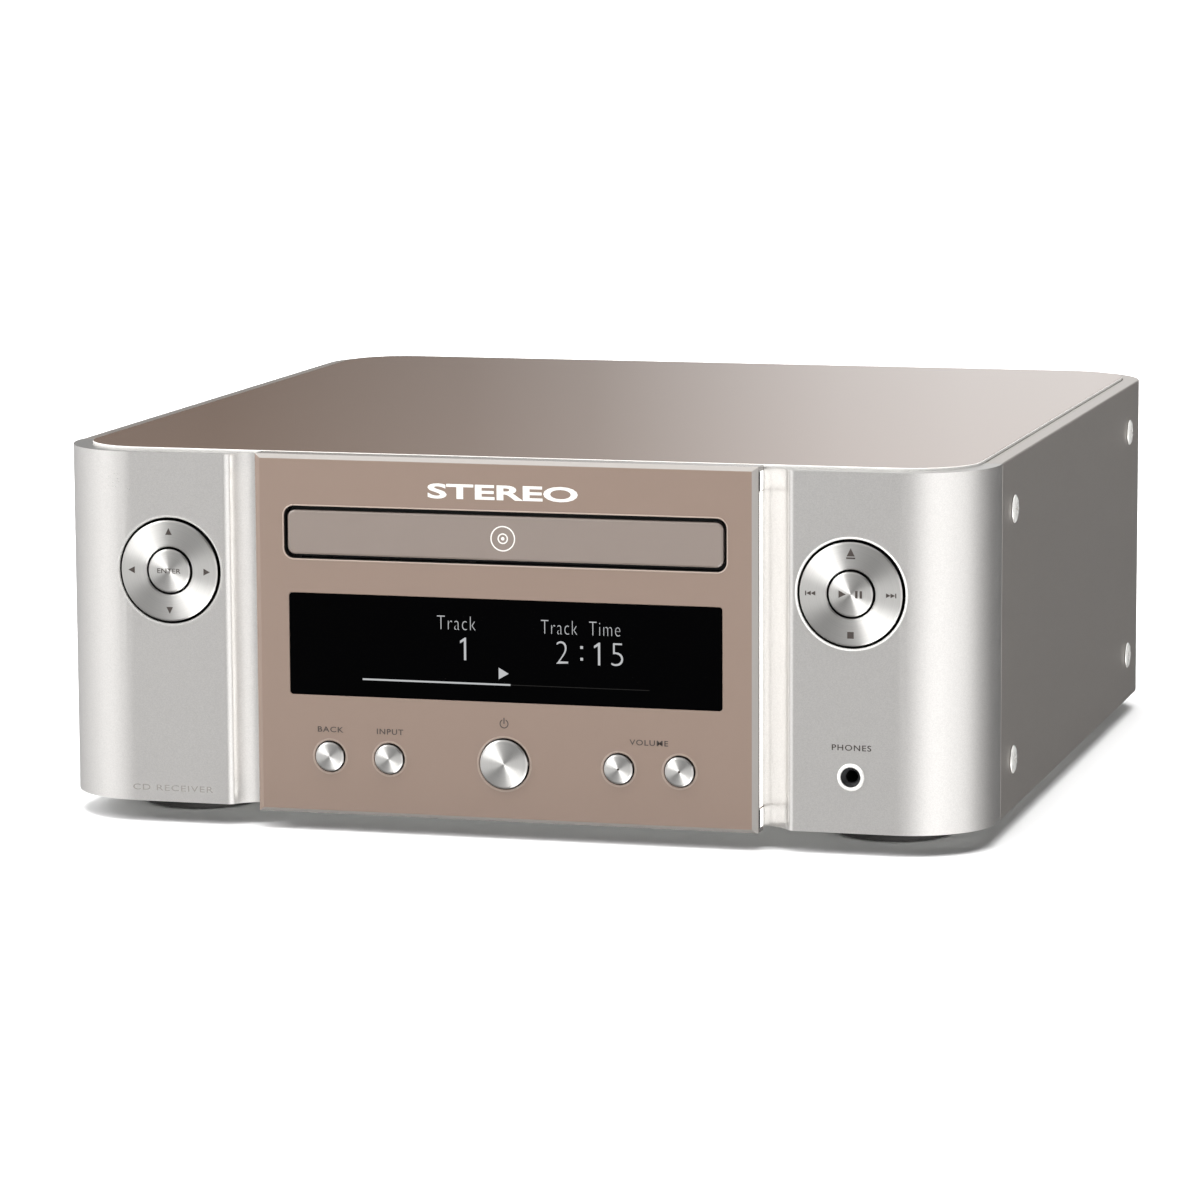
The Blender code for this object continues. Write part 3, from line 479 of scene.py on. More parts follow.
# Green board: solder mask over copper runs, with pads and a weave under the mask
def makeBoardFinish():
    made, tree, shader = newFinish("greenBoard", Specular_IOR_Level=0.5, Coat_Weight=0.3, Coat_Roughness=0.3)
    place = addNode(tree, "ShaderNodeTexCoord").outputs["Object"]
    cells = addNode(tree, "ShaderNodeTexVoronoi", {"Vector": place, "Scale": 260.0}, distance="MANHATTAN",
                    feature="DISTANCE_TO_EDGE").outputs["Distance"]
    pads = addNode(tree, "ShaderNodeTexVoronoi", {"Vector": place, "Scale": 190.0}).outputs["Distance"]
    weave = noise(tree, place, 1400.0)
    runs = remap(tree, cells, 0.05, 0.09, 1.0, 0.0)
    tone = blendColour(tree, runs, (0.012, 0.085, 0.036, 1), (0.022, 0.15, 0.06, 1))
    tone = blendColour(tree, remap(tree, pads, 0.10, 0.13, 1.0, 0.0), tone, (0.50, 0.50, 0.47, 1))
    tree.links.new(tone, shader.inputs["Base Color"])
    tree.links.new(remap(tree, weave, 0.3, 0.7, 0.32, 0.5), shader.inputs["Roughness"])
    bump = addNode(tree, "ShaderNodeBump", {"Height": maths(tree, "MULTIPLY_ADD", weave, 0.2, runs),
                                            "Strength": 0.4, "Distance": 0.00005})
    tree.links.new(bump.outputs[0], shader.inputs["Normal"])
    return made


greenBoard = makeBoardFinish()
print("finishes made")


case = {"halfWidth": 140.0, "depth": 290.0, "corner": 26.0, "foot": 6.4, "rim": 110.2, "seam": 29.0,
        "sheet": 1.2, "wall": 2.5, "coveOuter": 84.3, "coveInner": 75.9, "coveDepth": 5.7,
        "coveTurn": (81.46, 4.92, 8.5),
        "edge": 0.7, "screwY": (47.0, 247.0), "screwZ": (21.4, 95.0)}
plate = {"half": 134.4, "front": 6.0, "back": 284.4, "low": 109.8, "top": 111.0, "corner": 20.4, "edge": 0.3}
ringPlace = {"x": 102.3, "z": 75.4, "hole": 15.75}
jackPlace = {"x": 102.3, "z": 22.7}


def plateSlab(low, high, grow=0.0):
    return slab(-plate["half"] - grow, plate["half"] + grow, plate["front"] - grow, plate["back"] + grow, low, high,
                plate["corner"] + grow, "Z", 20)


# A bore whose mouth is opened by a small chamfer, to be carved out of a front face at faceY
def chamferedBore(x, z, radius, faceY, depth, chamfer, sides=96):
    profile = [(0, faceY - 2), (radius + chamfer + 2, faceY - 2), (radius, faceY + chamfer), (radius, depth),
               (0, depth)]
    return turned(profile, x, z, steps=sides)


def makeFront():
    c = case
    inner = c["corner"] - c["wall"]
    half, inside, seam = c["halfWidth"], c["halfWidth"] - c["wall"], c["seam"]
    right = [(c["coveInner"], c["coveDepth"], 1.2), c["coveTurn"], (c["coveOuter"], 0, 2.4),
             (half, 0, c["corner"]), (half, seam), (inside, seam), (inside, c["wall"], inner), (86.5, c["wall"]),
             (80.5, c["coveDepth"] + c["wall"])]
    left = [(-p[0], *p[1:]) for p in reversed(right)]
    shell = pushOut(flatShape(left + right, "Z", c["foot"], 18), c["rim"] - c["foot"], "Z")
    sheet, bend = 1.2, c["corner"] - 1.2
    roofCorners = [(-half + sheet, seam), (-half + sheet, sheet, bend), (-87.0, sheet), (-81.0, 7.4), (81.0, 7.4),
                   (87.0, sheet), (half - sheet, sheet, bend), (half - sheet, seam)]
    roof = pushOut(flatShape(roofCorners, "Z", 107.6, 18), c["rim"] - 107.6, "Z")
    shell = carved(shell, [roof], "UNION")
    cuts = [plateSlab(plate["low"] - 0.3, c["rim"] + 2, 0.18),
            slab(-67.2, 67.2, 79.3, 97.2, 4, 10, 3.0), boxShape(-67.5, 67.5, 4, 10, 38.4, 73.0),
            disc(0, 22.4, 4.2, 4, 10), chamferedBore(jackPlace["x"], jackPlace["z"], 3.3, 0, 6, 0.35)]
    cuts += [disc(x, 22.4, 3.0, 4, 10, sides=32) for x in (-53.0, -34.9, 34.3, 52.4)]
    cuts += [chamferedBore(side * ringPlace["x"], ringPlace["z"], ringPlace["hole"], 0, 6, 0.55)
             for side in (-1, 1)]
    finished("frontShell", carved(shell, cuts), silverPaint, stands=["front_bezel"],
             edge=c["edge"], segments=3)


def makeCover():
    c = case
    start = c["seam"] + 0.3
    half, back, corner = c["halfWidth"], c["depth"], c["corner"]
    shell = pushOut(flatShape([(-half, start), (half, start), (half, back, corner), (-half, back, corner)], "Z",
                              c["foot"], 18), c["rim"] - c["foot"], "Z")
    sheet = c["sheet"]
    hollow = pushOut(flatShape([(-half + sheet, start - 2), (half - sheet, start - 2),
                                (half - sheet, back - sheet, corner - sheet),
                                (-half + sheet, back - sheet, corner - sheet)], "Z", c["foot"] - 1, 18),
                     108.3 - c["foot"] + 1, "Z")
    cuts = [hollow, plateSlab(plate["low"] - 0.3, c["rim"] + 2, 0.18),
            boxShape(-112.9, 112.9, 285, 293, c["foot"] - 1, 107.4)]
    finished("caseCover", carved(shell, cuts), silverCase, stands=["case_cover"],
             edge=0.35, segments=2)


def makeTopPlate():
    # The sides of the top plate take the pale matte tone: a painted highlight that keeps the edge facing the dark
    # side of the room light
    finished("topPlate", plateSlab(plate["low"], plate["top"]), topAcrylic,
             stands=["top_plate"], edge=plate["edge"], segments=3, second=paintedLightPale,
             onSecond=lambda at, normal: normal.z < 0.5)


# Cross-slot screws through the sides of the case
def makeCaseScrews():
    for sideName, side in (("left", -1), ("right", 1)):
        places = [(y, z) for y in case["screwY"] for z in case["screwZ"]]
        for count, (y, z) in enumerate(places, 1):
            head = turned([(0, 134.5), (1.5, 134.5), (1.5, 140.22), (4.1, 140.22), (4.0, 140.45), (3.3, 140.8),
                           (2.2, 140.97), (0, 141.0)], 0, 0, "X", 40)
            slots = [boxShape(139.9, 142, -wide, wide, -tall, tall) for wide, tall in ((1.7, 0.35), (0.35, 1.7))]
            turn = Matrix.Rotation(math.radians(17 + 31 * count), 4, "X")
            head = carved(head, [moved(shape, turn) for shape in slots])
            if side < 0:
                moved(head, Matrix.Scale(-1, 4, (1, 0, 0)))
                bmesh.ops.reverse_faces(head, faces=head.faces)
            moved(head, Matrix.Translation((0, y, z)))
            node = f"case_screw_{sideName}_{count}"
            finished(f"caseScrew_{sideName}_{count}", head, screwNickelAndGlint, stands=[node])


# Turned feet with a ring groove in the side and a soft pad below
def makeFeet():
    for node in ("front_left_foot", "front_right_foot", "rear_left_foot", "rear_right_foot"):
        low, high = inMillimetres(node)
        profile = [(0, 6.1), (17.2, 6.1), (17.6, 5.8), (17.6, 4.6), (17.2, 4.4), (17.2, 4.0), (17.9, 3.8), (18, 1.4),
                   (17.4, 0.5), (16.4, 0.3), (15.0, 0.3), (14.6, 0.0), (4.5, 0.0), (4.2, 0.8), (3.4, 2.2), (0, 2.2)]
        foot = turned(profile, (low.x + high.x) / 2, (low.y + high.y) / 2, "Z", 72)
        finished(node + "_pad", foot, footRubber, stands=[node], sharp=50)


makeFront()
makeCover()
makeTopPlate()
makeCaseScrews()
makeFeet()
print("case made")


fascia = {"half": 75.4, "low": 5.2, "high": 110.9, "front": -1.5, "back": 5.4, "bevelX": 1.7, "bevelZ": 1.2,
          "bevelY": 1.1, "slotHalf": 66.4, "slotLow": 80.5, "slotHigh": 96.0, "windowHalf": 65.1,
          "windowLow": 40.4, "windowHigh": 70.5}
door = {"half": 65.3, "low": 81.8, "high": 94.7, "front": -1.4, "back": 3.2}
smallKeys = {"back_button": -53.0, "input_button": -34.9, "volume_down_button": 34.3, "volume_up_button": 52.4}
keyZ = 22.4
keyBores = [(x, 5.1) for x in smallKeys.values()] + [(0.0, 8.0)]


def makeFascia():
    f = fascia
    shape = slab(-f["half"], f["half"], f["low"], f["high"], f["front"] + f["bevelY"], f["back"])
    face = min(shape.faces, key=lambda one: one.calc_center_median().y)
    bmesh.ops.inset_region(shape, faces=[face], thickness=f["bevelZ"], depth=0.0, use_even_offset=True)
    raised = face.verts[:]
    wide = (f["half"] - f["bevelX"]) / (f["half"] - f["bevelZ"])
    bmesh.ops.translate(shape, verts=raised, vec=(0, -f["bevelY"], 0))
    bmesh.ops.scale(shape, verts=raised, vec=(wide, 1, 1))
    cuts = [slab(-70.5, 70.5, 8.5, 107.5, 1.5, 8),
            slab(-f["slotHalf"], f["slotHalf"], f["slotLow"], f["slotHigh"], -4, 4, 3.0),
            slab(-f["windowHalf"], f["windowHalf"], f["windowLow"], f["windowHigh"], -4, 4, 1.0)]
    cuts += [disc(x, keyZ, radius, -4, 4) for x, radius in keyBores]
    cuts += [boxShape(*sorted((side * 72.1, side * 78)), 1.1, 8, 12.0, 103.8) for side in (-1, 1)]
    # The clear edge of the panel shows all round it in a paler tone, partly its real clear edge and partly a painted
    # highlight; the left chamfer keeps the rose tone as painted shade
    finished("centrePanel", carved(shape, cuts), roseAcrylic, stands=["centre_fascia"],
             edge=0.22, segments=2, second=clearEdgeAndHighlight,
             onSecond=lambda at, normal: normal.y > -0.98 and (abs(at.x) > 74 or not 6.6 < at.z < 109.5) and
             not (normal.x < -0.3 and normal.y < -0.3))
    # A thin raised lip runs round the tray slot
    lip = slab(-f["slotHalf"] - 0.4, f["slotHalf"] + 0.4, f["slotLow"] - 0.4, f["slotHigh"] + 0.4,
               f["front"] - 0.1, f["front"] + 0.3, 3.4)
    lip = carved(lip, [slab(-f["slotHalf"], f["slotHalf"], f["slotLow"], f["slotHigh"], -4, 4, 3.0)])
    finished("slotLip", lip, roseLip, edge=0.12)
    liner = slab(-f["slotHalf"] - 0.02, f["slotHalf"] + 0.02, f["slotLow"] - 0.02, f["slotHigh"] + 0.02,
                 f["front"] + 0.45, 1.6, 3.0)
    hollow = slab(-f["slotHalf"] + 0.1, f["slotHalf"] - 0.1, f["slotLow"] + 0.1, f["slotHigh"] - 0.1, -3, 3, 2.9)
    finished("slotLiner", carved(liner, [hollow]), deepBlack)
    # A shallow pale collar and a dark well round each button
    for name, (x, radius) in zip(list(smallKeys) + ["power_button"], keyBores):
        collar = turned([(radius + 0.05, 0.5), (radius - 0.5, 0.5), (radius - 0.5, -1.3), (radius - 0.35, -1.5),
                         (radius - 0.1, -1.56), (radius + 0.25, -1.5), (radius + 0.25, -1.3)], x, keyZ)
        finished(name + "_collar", collar, collarAcrylic, sharp=60)
        finished(name + "_well", turned([(radius - 0.04, -1.0), (radius - 0.04, 1.4)], x, keyZ), deepBlack)


def makeDoor():
    d = door
    face = slab(-d["half"], d["half"], d["low"], d["high"], d["front"] + 0.35, d["back"], 2.2)
    front = min(face.faces, key=lambda one: one.calc_center_median().y)
    bmesh.ops.inset_region(face, faces=[front], thickness=0.55, depth=0.0, use_even_offset=True)
    bmesh.ops.translate(face, verts=front.verts[:], vec=(0, -0.35, 0))
    bmesh.ops.recalc_face_normals(face, faces=face.faces)
    finished("trayDoor", face, doorAcrylic, "tray", ["tray_door"], edge=0.1)
    # A dark flange behind the face closes the gap round it
    flange = slab(-d["half"] - 0.6, d["half"] + 0.6, d["low"] - 1.05, d["high"] + 0.9, 1.75, 3.0, 2.6)
    finished("doorFlange", flange, deepBlack, "tray", edge=0.1)
    # A plain disc mark: a ring, a hub ring and a spindle hole
    mark = together(band(3.35, 3.7, -1.43, -1.40, 0, 88.2), band(1.2, 1.55, -1.43, -1.40, 0, 88.2, 48),
                    turned([(0.0, -1.43), (0.5, -1.43), (0.5, -1.40)], 0, 88.2, steps=32))
    finished("trayMark", mark, paleInk, "tray", weighted=False)


tray = {"half": 62.0, "front": 3.5, "back": 165.0, "low": 85.0, "top": 91.2, "discY": 74.0, "gap": 22.0,
        "rackX": -55.0, "rackLow": 81.0, "rackStart": 32.0, "module": 1.25, "teeth": 34}


# The disc carrier: a dished deck with two steps, finger notches, a slot for the pickup, runners and a rack
def makeTray():
    t = tray
    pitch, lean, thin = math.pi * t["module"], math.tan(math.radians(20)), 0.14
    out, deep = 0.75 * t["module"], t["module"]
    foot, head = pitch / 4 - thin + deep * lean, pitch / 4 - thin - out * lean
    start, inner, tip = t["rackStart"], t["rackX"] - deep, t["rackX"] + out
    outline = [(t["rackX"] - 4.0, start - pitch / 2)]
    for y in [start + i * pitch for i in range(t["teeth"])]:
        outline += [(inner, y - foot), (tip, y - head), (tip, y + head), (inner, y + foot)]
    outline.append((t["rackX"] - 4.0, start + (t["teeth"] - 0.5) * pitch))
    rack = pushOut(flatShape(outline, "Z", t["rackLow"]), t["low"] + 0.5 - t["rackLow"], "Z")
    runners = [boxShape(*sorted((side * 59.2, side * 61.8)), 6, 163, 83.0, t["low"] + 0.5) for side in (-1, 1)]
    deck = slab(-t["half"], t["half"], t["front"], t["back"], t["low"], t["top"], 2.0, "Z")
    dish = turned([(0, 94), (61.4, 94), (61.4, 91.2), (60.9, 90.7), (60.6, 88.6), (41.4, 88.6), (40.9, 87.5),
                   (0, 87.5)], 0, t["discY"], "Z", 128)
    gap = [slab(-t["gap"], t["gap"], t["discY"], t["back"] + 5, 82, 95, axis="Z"),
           disc(0, t["discY"], t["gap"], 82, 95, "Z")]
    notches = [disc(side * t["half"], t["discY"] + shift, 8.0, 89.4, 95, "Z", 48) for side in (-1, 1)
               for shift in (-34, 34)]
    shape = carved(deck, runners + [rack], "UNION")
    shape = carved(shape, [dish])
    finished("trayDeck", carved(shape, gap + notches), blackPlastic, "tray", ["disc_tray"],
             edge=0.2, segments=2, angle=35)


def makeDisplay():
    f = fascia
    glass = slab(-f["windowHalf"] + 0.12, f["windowHalf"] - 0.12, f["windowLow"] + 0.12, f["windowHigh"] - 0.12,
                 f["front"] + 0.05, 2.4, 0.9)
    flange = boxShape(-66.9, 66.9, 1.8, 3.0, f["windowLow"] - 1.6, f["windowHigh"] + 1.6)
    finished("displayWindow", carved(glass, [flange], "UNION"), smokedWindow,
             stands=["display_window"], edge=0.12)
    faceY = f["front"] + 0.05
    words = [("trackWord", "Track", -14.2, 63.2, 11.6, 4.0, 1.15),
             ("timeWord", "Track  Time", 23.1, 63.0, 23.6, 4.0, 1.15)]
    for name, text, x, z, width, height, spread in words:
        word = lettering(text, x, z, width, height, faceY, -0.022, spread=spread)
        finished("display_" + name, word, displayGlow, weighted=False)
    clock = [lettering(text, x, 55.7, 3.5, 6.6, faceY, -0.02) for text, x in (("2", 17.6), ("5", 34.0))]
    for x in (28.6, -11.6):
        one = [(0.33, -3.3), (0.33, 3.3), (-0.1, 3.3), (-1.5, 2.3), (-1.5, 1.6), (-0.33, 2.3), (-0.33, -3.3)]
        clock.append(pushOut(flatShape([(x + a, 55.7 + b) for a, b in one], at=faceY), -0.03))
    clock += [slab(23.0, 23.8, z, z + 0.8, faceY - 0.03, faceY) for z in (53.6, 57.0)]
    finished("display_clock", together(*clock), displayGlow, weighted=False)
    played = together(slab(-42.8, 2.0, 45.4, 45.9, faceY - 0.03, faceY),
                      pushOut(flatShape([(-1.5, 47.2), (1.5, 48.9), (-1.5, 50.6)], at=faceY), -0.03))
    finished("display_played", played, displayGlow, weighted=False)
    toPlay = slab(2.0, 43.5, 45.55, 45.75, faceY - 0.03, faceY)
    finished("display_toPlay", toPlay, displayDim, weighted=False)


def makeLightGuides():
    for sideName, side in (("left", -1), ("right", 1)):
        guide = boxShape(*sorted((side * 72.4, side * 75.34)), 1.4, 5.3, 12.3, 103.5)
        node = "light_guide_" + sideName
        finished(node + "_pipe", guide, guideGlow, stands=[node], edge=0.2)
        # At each end of a guide a glowing strip, and in front of it a near-black strip: painted shade standing for
        # the shaded wall of the slot
        for part, front, back, finish in (("ends", 1.3, 5.2, guideGlow), ("paintedShadeStrips", -0.1, 1.3, deepBlack)):
            ends = [boxShape(*sorted((side * 75.38, side * 75.5)), front, back, low, high)
                    for low, high in ((6.6, 11.9), (103.9, 109.4))]
            finished(f"{node}_{part}", together(*ends), finish)


def makeLabels():
    face, wing = fascia["front"], 0.0
    labels = [("maker", "STEREO", 0.0, 101.5, 45.0, 4.4, face, paleInk, 0.028),
              ("back", "BACK", -52.8, 30.4, 7.9, 1.65, face, darkInk, 0.012),
              ("input", "INPUT", -34.6, 30.4, 8.1, 1.65, face, darkInk, 0.012),
              ("volume", "VOLUME", 43.3, 30.4, 11.5, 1.65, face, darkInk, 0.012),
              ("phones", "PHONES", 102.5, 31.2, 11.5, 1.7, wing, darkInk, 0.012),
              ("kind", "CD RECEIVER", -102.5, 10.5, 25.0, 1.75, wing, softInk, 0.0)]
    for name, text, x, z, width, height, faceY, ink, bold in labels:
        shape = lettering(text, x, z, width, height, faceY, bold, spread=1.0 if name == "maker" else 1.14)
        finished("label_" + name, shape, ink, weighted=False)
    # Power sign: an open ring with a bar
    mouth = boxShape(-0.5, 0.5, face - 1, face + 1, 34.4, 37)
    ring = carved(band(1.05, 1.35, face - 0.03, face, 0, 34.2, 48), [mouth])
    sign = together(ring, slab(-0.16, 0.16, 34.2, 36.0, face - 0.03, face))
    finished("label_power", sign, darkInk, weighted=False)


def spunPiece(node, ending, shape, x, z):
    finish = spunFinish(node + "_spun", x, z)
    spunMap(finished(node + ending, shape, finish, node, [node], sharp=28, weighted=False), x, z)


# A turned cap with a shallow dish, a bright chamfer and a stem
def spunButton(node, x, z, radius, front, back, dish):
    profile = [(0, front + dish), (radius * 0.45, front + dish * 0.75), (radius - 0.85, front + dish * 0.1),
               (radius - 0.6, front), (radius - 0.42, front + 0.02), (radius, front + 0.4), (radius, back),
               (radius * 0.5, back), (radius * 0.5, 12.4), (0, 12.4)]
    spunPiece(node, "_cap", turned(profile, x, z, steps=128), x, z)


signRise = 0.09


# Signs start just under the face that they stand on
def arrow(x, z, size, direction, faceY):
    bm = flatShape([(-0.5, -0.5), (0.5, -0.5), (0.0, 0.5)], at=faceY)
    turn = {"up": 0, "right": 90, "down": 180, "left": 270}[direction]
    moved(bm, Matrix.Translation((x, 0, z)) @ Matrix.Rotation(math.radians(turn), 4, "Y") @
          Matrix.Diagonal((size, 1, size, 1)))
    bmesh.ops.recalc_face_normals(bm, faces=bm.faces)
    return pushOut(bm, -signRise)


def bar(x, z, width, height, faceY):
    return slab(x - width / 2, x + width / 2, z - height / 2, z + height / 2, faceY - signRise, faceY)


def makeButtons():
    for node, x in smallKeys.items():
        spunButton(node, x, keyZ, 4.25, -2.4, 2.0, 0.22)
    spunButton("power_button", 0.0, keyZ, 7.15, -2.5, 2.4, 0.3)
    for node, direction in (("volume_down_button", "down"), ("volume_up_button", "up")):
        finished(node + "_sign", arrow(smallKeys[node], keyZ, 1.6, direction, -2.1), darkInk, node,
                 weighted=False)


def makeRings():
    x, z = ringPlace["x"], ringPlace["z"]
    for node, side in (("cursor_ring", -1), ("transport_ring", 1)):
        profile = [(7.1, 3.6), (7.1, -0.35), (7.45, -0.76), (7.8, -0.80), (11.0, -0.82), (14.2, -0.86),
                   (14.5, -0.82), (14.9, -0.42), (14.9, 3.6)]
        spunPiece(node, "_face", turned(profile, side * x, z, steps=192, closed=True), side * x, z)
        well = turned([(15.72, 0.5), (15.72, 4.6), (15.2, 5.6), (2.6, 5.6)], side * x, z)
        finished(node + "_well", well, deepBlack)
        # Each ring's thin rim: the right one takes the pale tone as painted light, the left one the grey tone as
        # painted shade
        rim = turned([(15.72, 0.4), (15.72, 0.02), (15.85, -0.08), (16.15, -0.1), (16.35, -0.02), (16.35, 0.4)],
                     side * x, z, steps=128, closed=True)
        finished(node + "_rim", rim, paintedLightPale if side > 0 else paintedShadeGrey, sharp=60)
    for node, side in (("enter_button", -1), ("play_button", 1)):
        spunButton(node, side * x, z, 6.4, -1.0, 3.0, 0.05)
    faceY, out = -0.79, 11.7
    left = [arrow(-x, z + out, 2.0, "up", faceY), arrow(-x, z - out, 2.0, "down", faceY),
            arrow(-x - out, z, 2.0, "left", faceY), arrow(-x + out, z, 2.0, "right", faceY)]
    finished("cursor_signs", together(*left), darkInk, "cursor_ring", weighted=False)
    right = [arrow(x, z + out + 0.35, 2.3, "up", faceY), bar(x, z + out - 1.35, 2.6, 0.4, faceY),
             bar(x, z - out, 1.9, 1.9, faceY)]
    for way, direction in ((-1, "left"), (1, "right")):
        right += [arrow(x + way * (out - 0.8), z, 1.3, direction, faceY),
                  arrow(x + way * (out + 0.5), z, 1.3, direction, faceY),
                  bar(x + way * (out + 1.35), z, 0.32, 1.3, faceY)]
    finished("transport_signs", together(*right), darkInk, "transport_ring", weighted=False)
    centre = together(arrow(x - 2.4, z, 2.1, "right", -0.93), bar(x + 1.7, z, 0.7, 2.1, -0.93),
                      bar(x + 3.0, z, 0.7, 2.1, -0.93))
    finished("play_signs", centre, darkInk, "play_button", weighted=False)
    word = lettering("ENTER", -x, z, 7.2, 1.4, -0.95, thick=0.06)
    finished("enter_word", word, darkInk, "enter_button", weighted=False)


def makeJack():
    x, z = jackPlace["x"], jackPlace["z"]
    # The jack's nickel ring is drawn in the pale matte tone: a painted reflection of bright metal
    nose = [(2.9, 0.8), (2.9, -0.42), (3.05, -0.6), (3.4, -0.66), (3.75, -0.5), (3.95, -0.12), (3.95, 0.0),
            (3.2, 0.8)]
    finished("jackNose", turned(nose, x, z, closed=True), paintedLightPale,
             stands=["headphone_jack"], sharp=40, weighted=False)
    throat = [(1.8, 3.2), (1.8, 1.6), (2.3, 1.1), (2.85, 0.5), (2.88, -0.35), (2.98, -0.3), (2.98, 1.0),
              (2.5, 3.2)]
    finished("jackThroat", turned(throat, x, z, closed=True), blackPlastic, sharp=40)
    body = carved(boxShape(x - 6, x + 6, 3.1, 13.6, z - 6, z + 6), [disc(x, z, 1.85, 2, 12.5)])
    finished("jackBody", body, deepBlack, edge=0.3)


makeFascia()
makeDoor()
makeTray()
makeDisplay()
makeLightGuides()
makeLabels()
makeButtons()
makeRings()
makeJack()
print("front made")

# CAD nodes that keep their shape and only take a finish
keptFinishes = [
    (platedSteel, "bottom_chassis clamper_bridge traverse_chassis spindle_motor sled_motor loading_motor"),
    (greenBoard, "display_module front_board main_board power_supply_board network_board"),
    (blackPlastic, "loader_frame disc_clamp turntable laser_pickup speaker_terminals analogue_sockets mains_inlet"),
    (brightNickel, "guide_rod lead_screw tuner_module"), (nylon, "motor_pinion loading_gear"),
    (finAlloy, "heatsink"), (powderCoat, "rear_panel")]
for finish, nodes in keptFinishes:
    for held in [cadNodes[node] for node in nodes.split()]:
        if not held.material_slots:
            held.data.materials.append(finish)
        for slotHeld in held.material_slots:
            slotHeld.link = "OBJECT"
            slotHeld.material = finish
print("kept nodes finished")

rear = {"face": 289.7, "postX": (42.0, 61.0, 80.0, 99.0), "postZ": 37.0, "socketX": (-13.0, 1.0),
        "socketZ": (36.0, 50.0)}


# A ribbed knob: a collar, a run of ribs, a plated end ring and an open bore
def makePosts():
    r = rear
    for count, x in enumerate(r["postX"], 1):
        node, z = f"speaker_post_{count}", r["postZ"]
        finish, slot = (redPlastic, "red_plastic") if count % 2 == 0 else (blackPlastic, "black_plastic")
        knob = turned([(2.5, 292.35), (6.9, 292.35), (7.0, 292.6), (7.0, 293.5), (6.1, 293.8), (6.1, 299.4),
                       (5.4, 300.2), (3.6, 300.35), (3.5, 299.6), (2.5, 299.6)], x, z, closed=True)
        ribs = [moved(slab(-0.55, 0.55, 5.6, 6.95, 293.4, 299.2, 0.3), Matrix.Translation((x, 0, z)) @
                      Matrix.Rotation(math.radians(360 * i / 14), 4, "Y")) for i in range(14)]
        finished(node + "_knob", carved(knob, ribs, "UNION"), finish, node, [node], edge=0.15)
        sleeve = turned([(2.4, 295.0), (3.45, 295.0), (3.45, 300.1), (3.2, 300.3), (2.55, 300.3), (2.4, 300.1)],
                        x, z, closed=True, steps=48)
        finished(node + "_sleeve", sleeve, goldPlate, node)
        finished(node + "_washer", band(4.6, 6.6, 292.0, 292.25, x, z, 48), finish)


# Plated sleeves with a coloured collar and insulator on each phono socket
def makePhono():
    r = rear
    for column, x in enumerate(r["socketX"]):
        for row, z in enumerate(r["socketZ"]):
            finish = redPlastic if column == 0 else whitePlastic
            name = f"phono_{column + 1}_{row + 1}"
            collar = turned([(4.15, 290.4), (5.9, 290.4), (5.9, 291.3), (5.6, 291.7), (4.15, 291.7)], x, z,
                            closed=True)
            finished(name + "_collar", collar, finish, edge=0.1)
            sleeve = turned([(4.12, 291.6), (4.4, 291.6), (4.4, 300.2), (4.2, 300.4), (3.7, 300.4), (3.6, 300.05),
                             (4.12, 300.05)], x, z, closed=True)
            finished(name + "_sleeve", sleeve, goldPlate)
            inside = band(1.65, 3.55, 300.02, 300.16, x, z, 48)
            finished(name + "_insulator", inside, finish)
            finished(name + "_contact", band(1.3, 1.58, 293.0, 300.0, x, z, 32), goldPlate)


# A frame between an inner box and walls of one thickness, or walls that reach an outer box
def frameShape(x0, x1, z0, z1, start, end, wall, radius=0.4):
    left, right, low, high = wall if isinstance(wall, tuple) else (x0 - wall, x1 + wall, z0 - wall, z1 + wall)
    outer, inner = slab(left, right, low, high, start, end, radius), slab(x0, x1, z0, z1, start - 1, end + 1)
    return carved(outer, [inner])


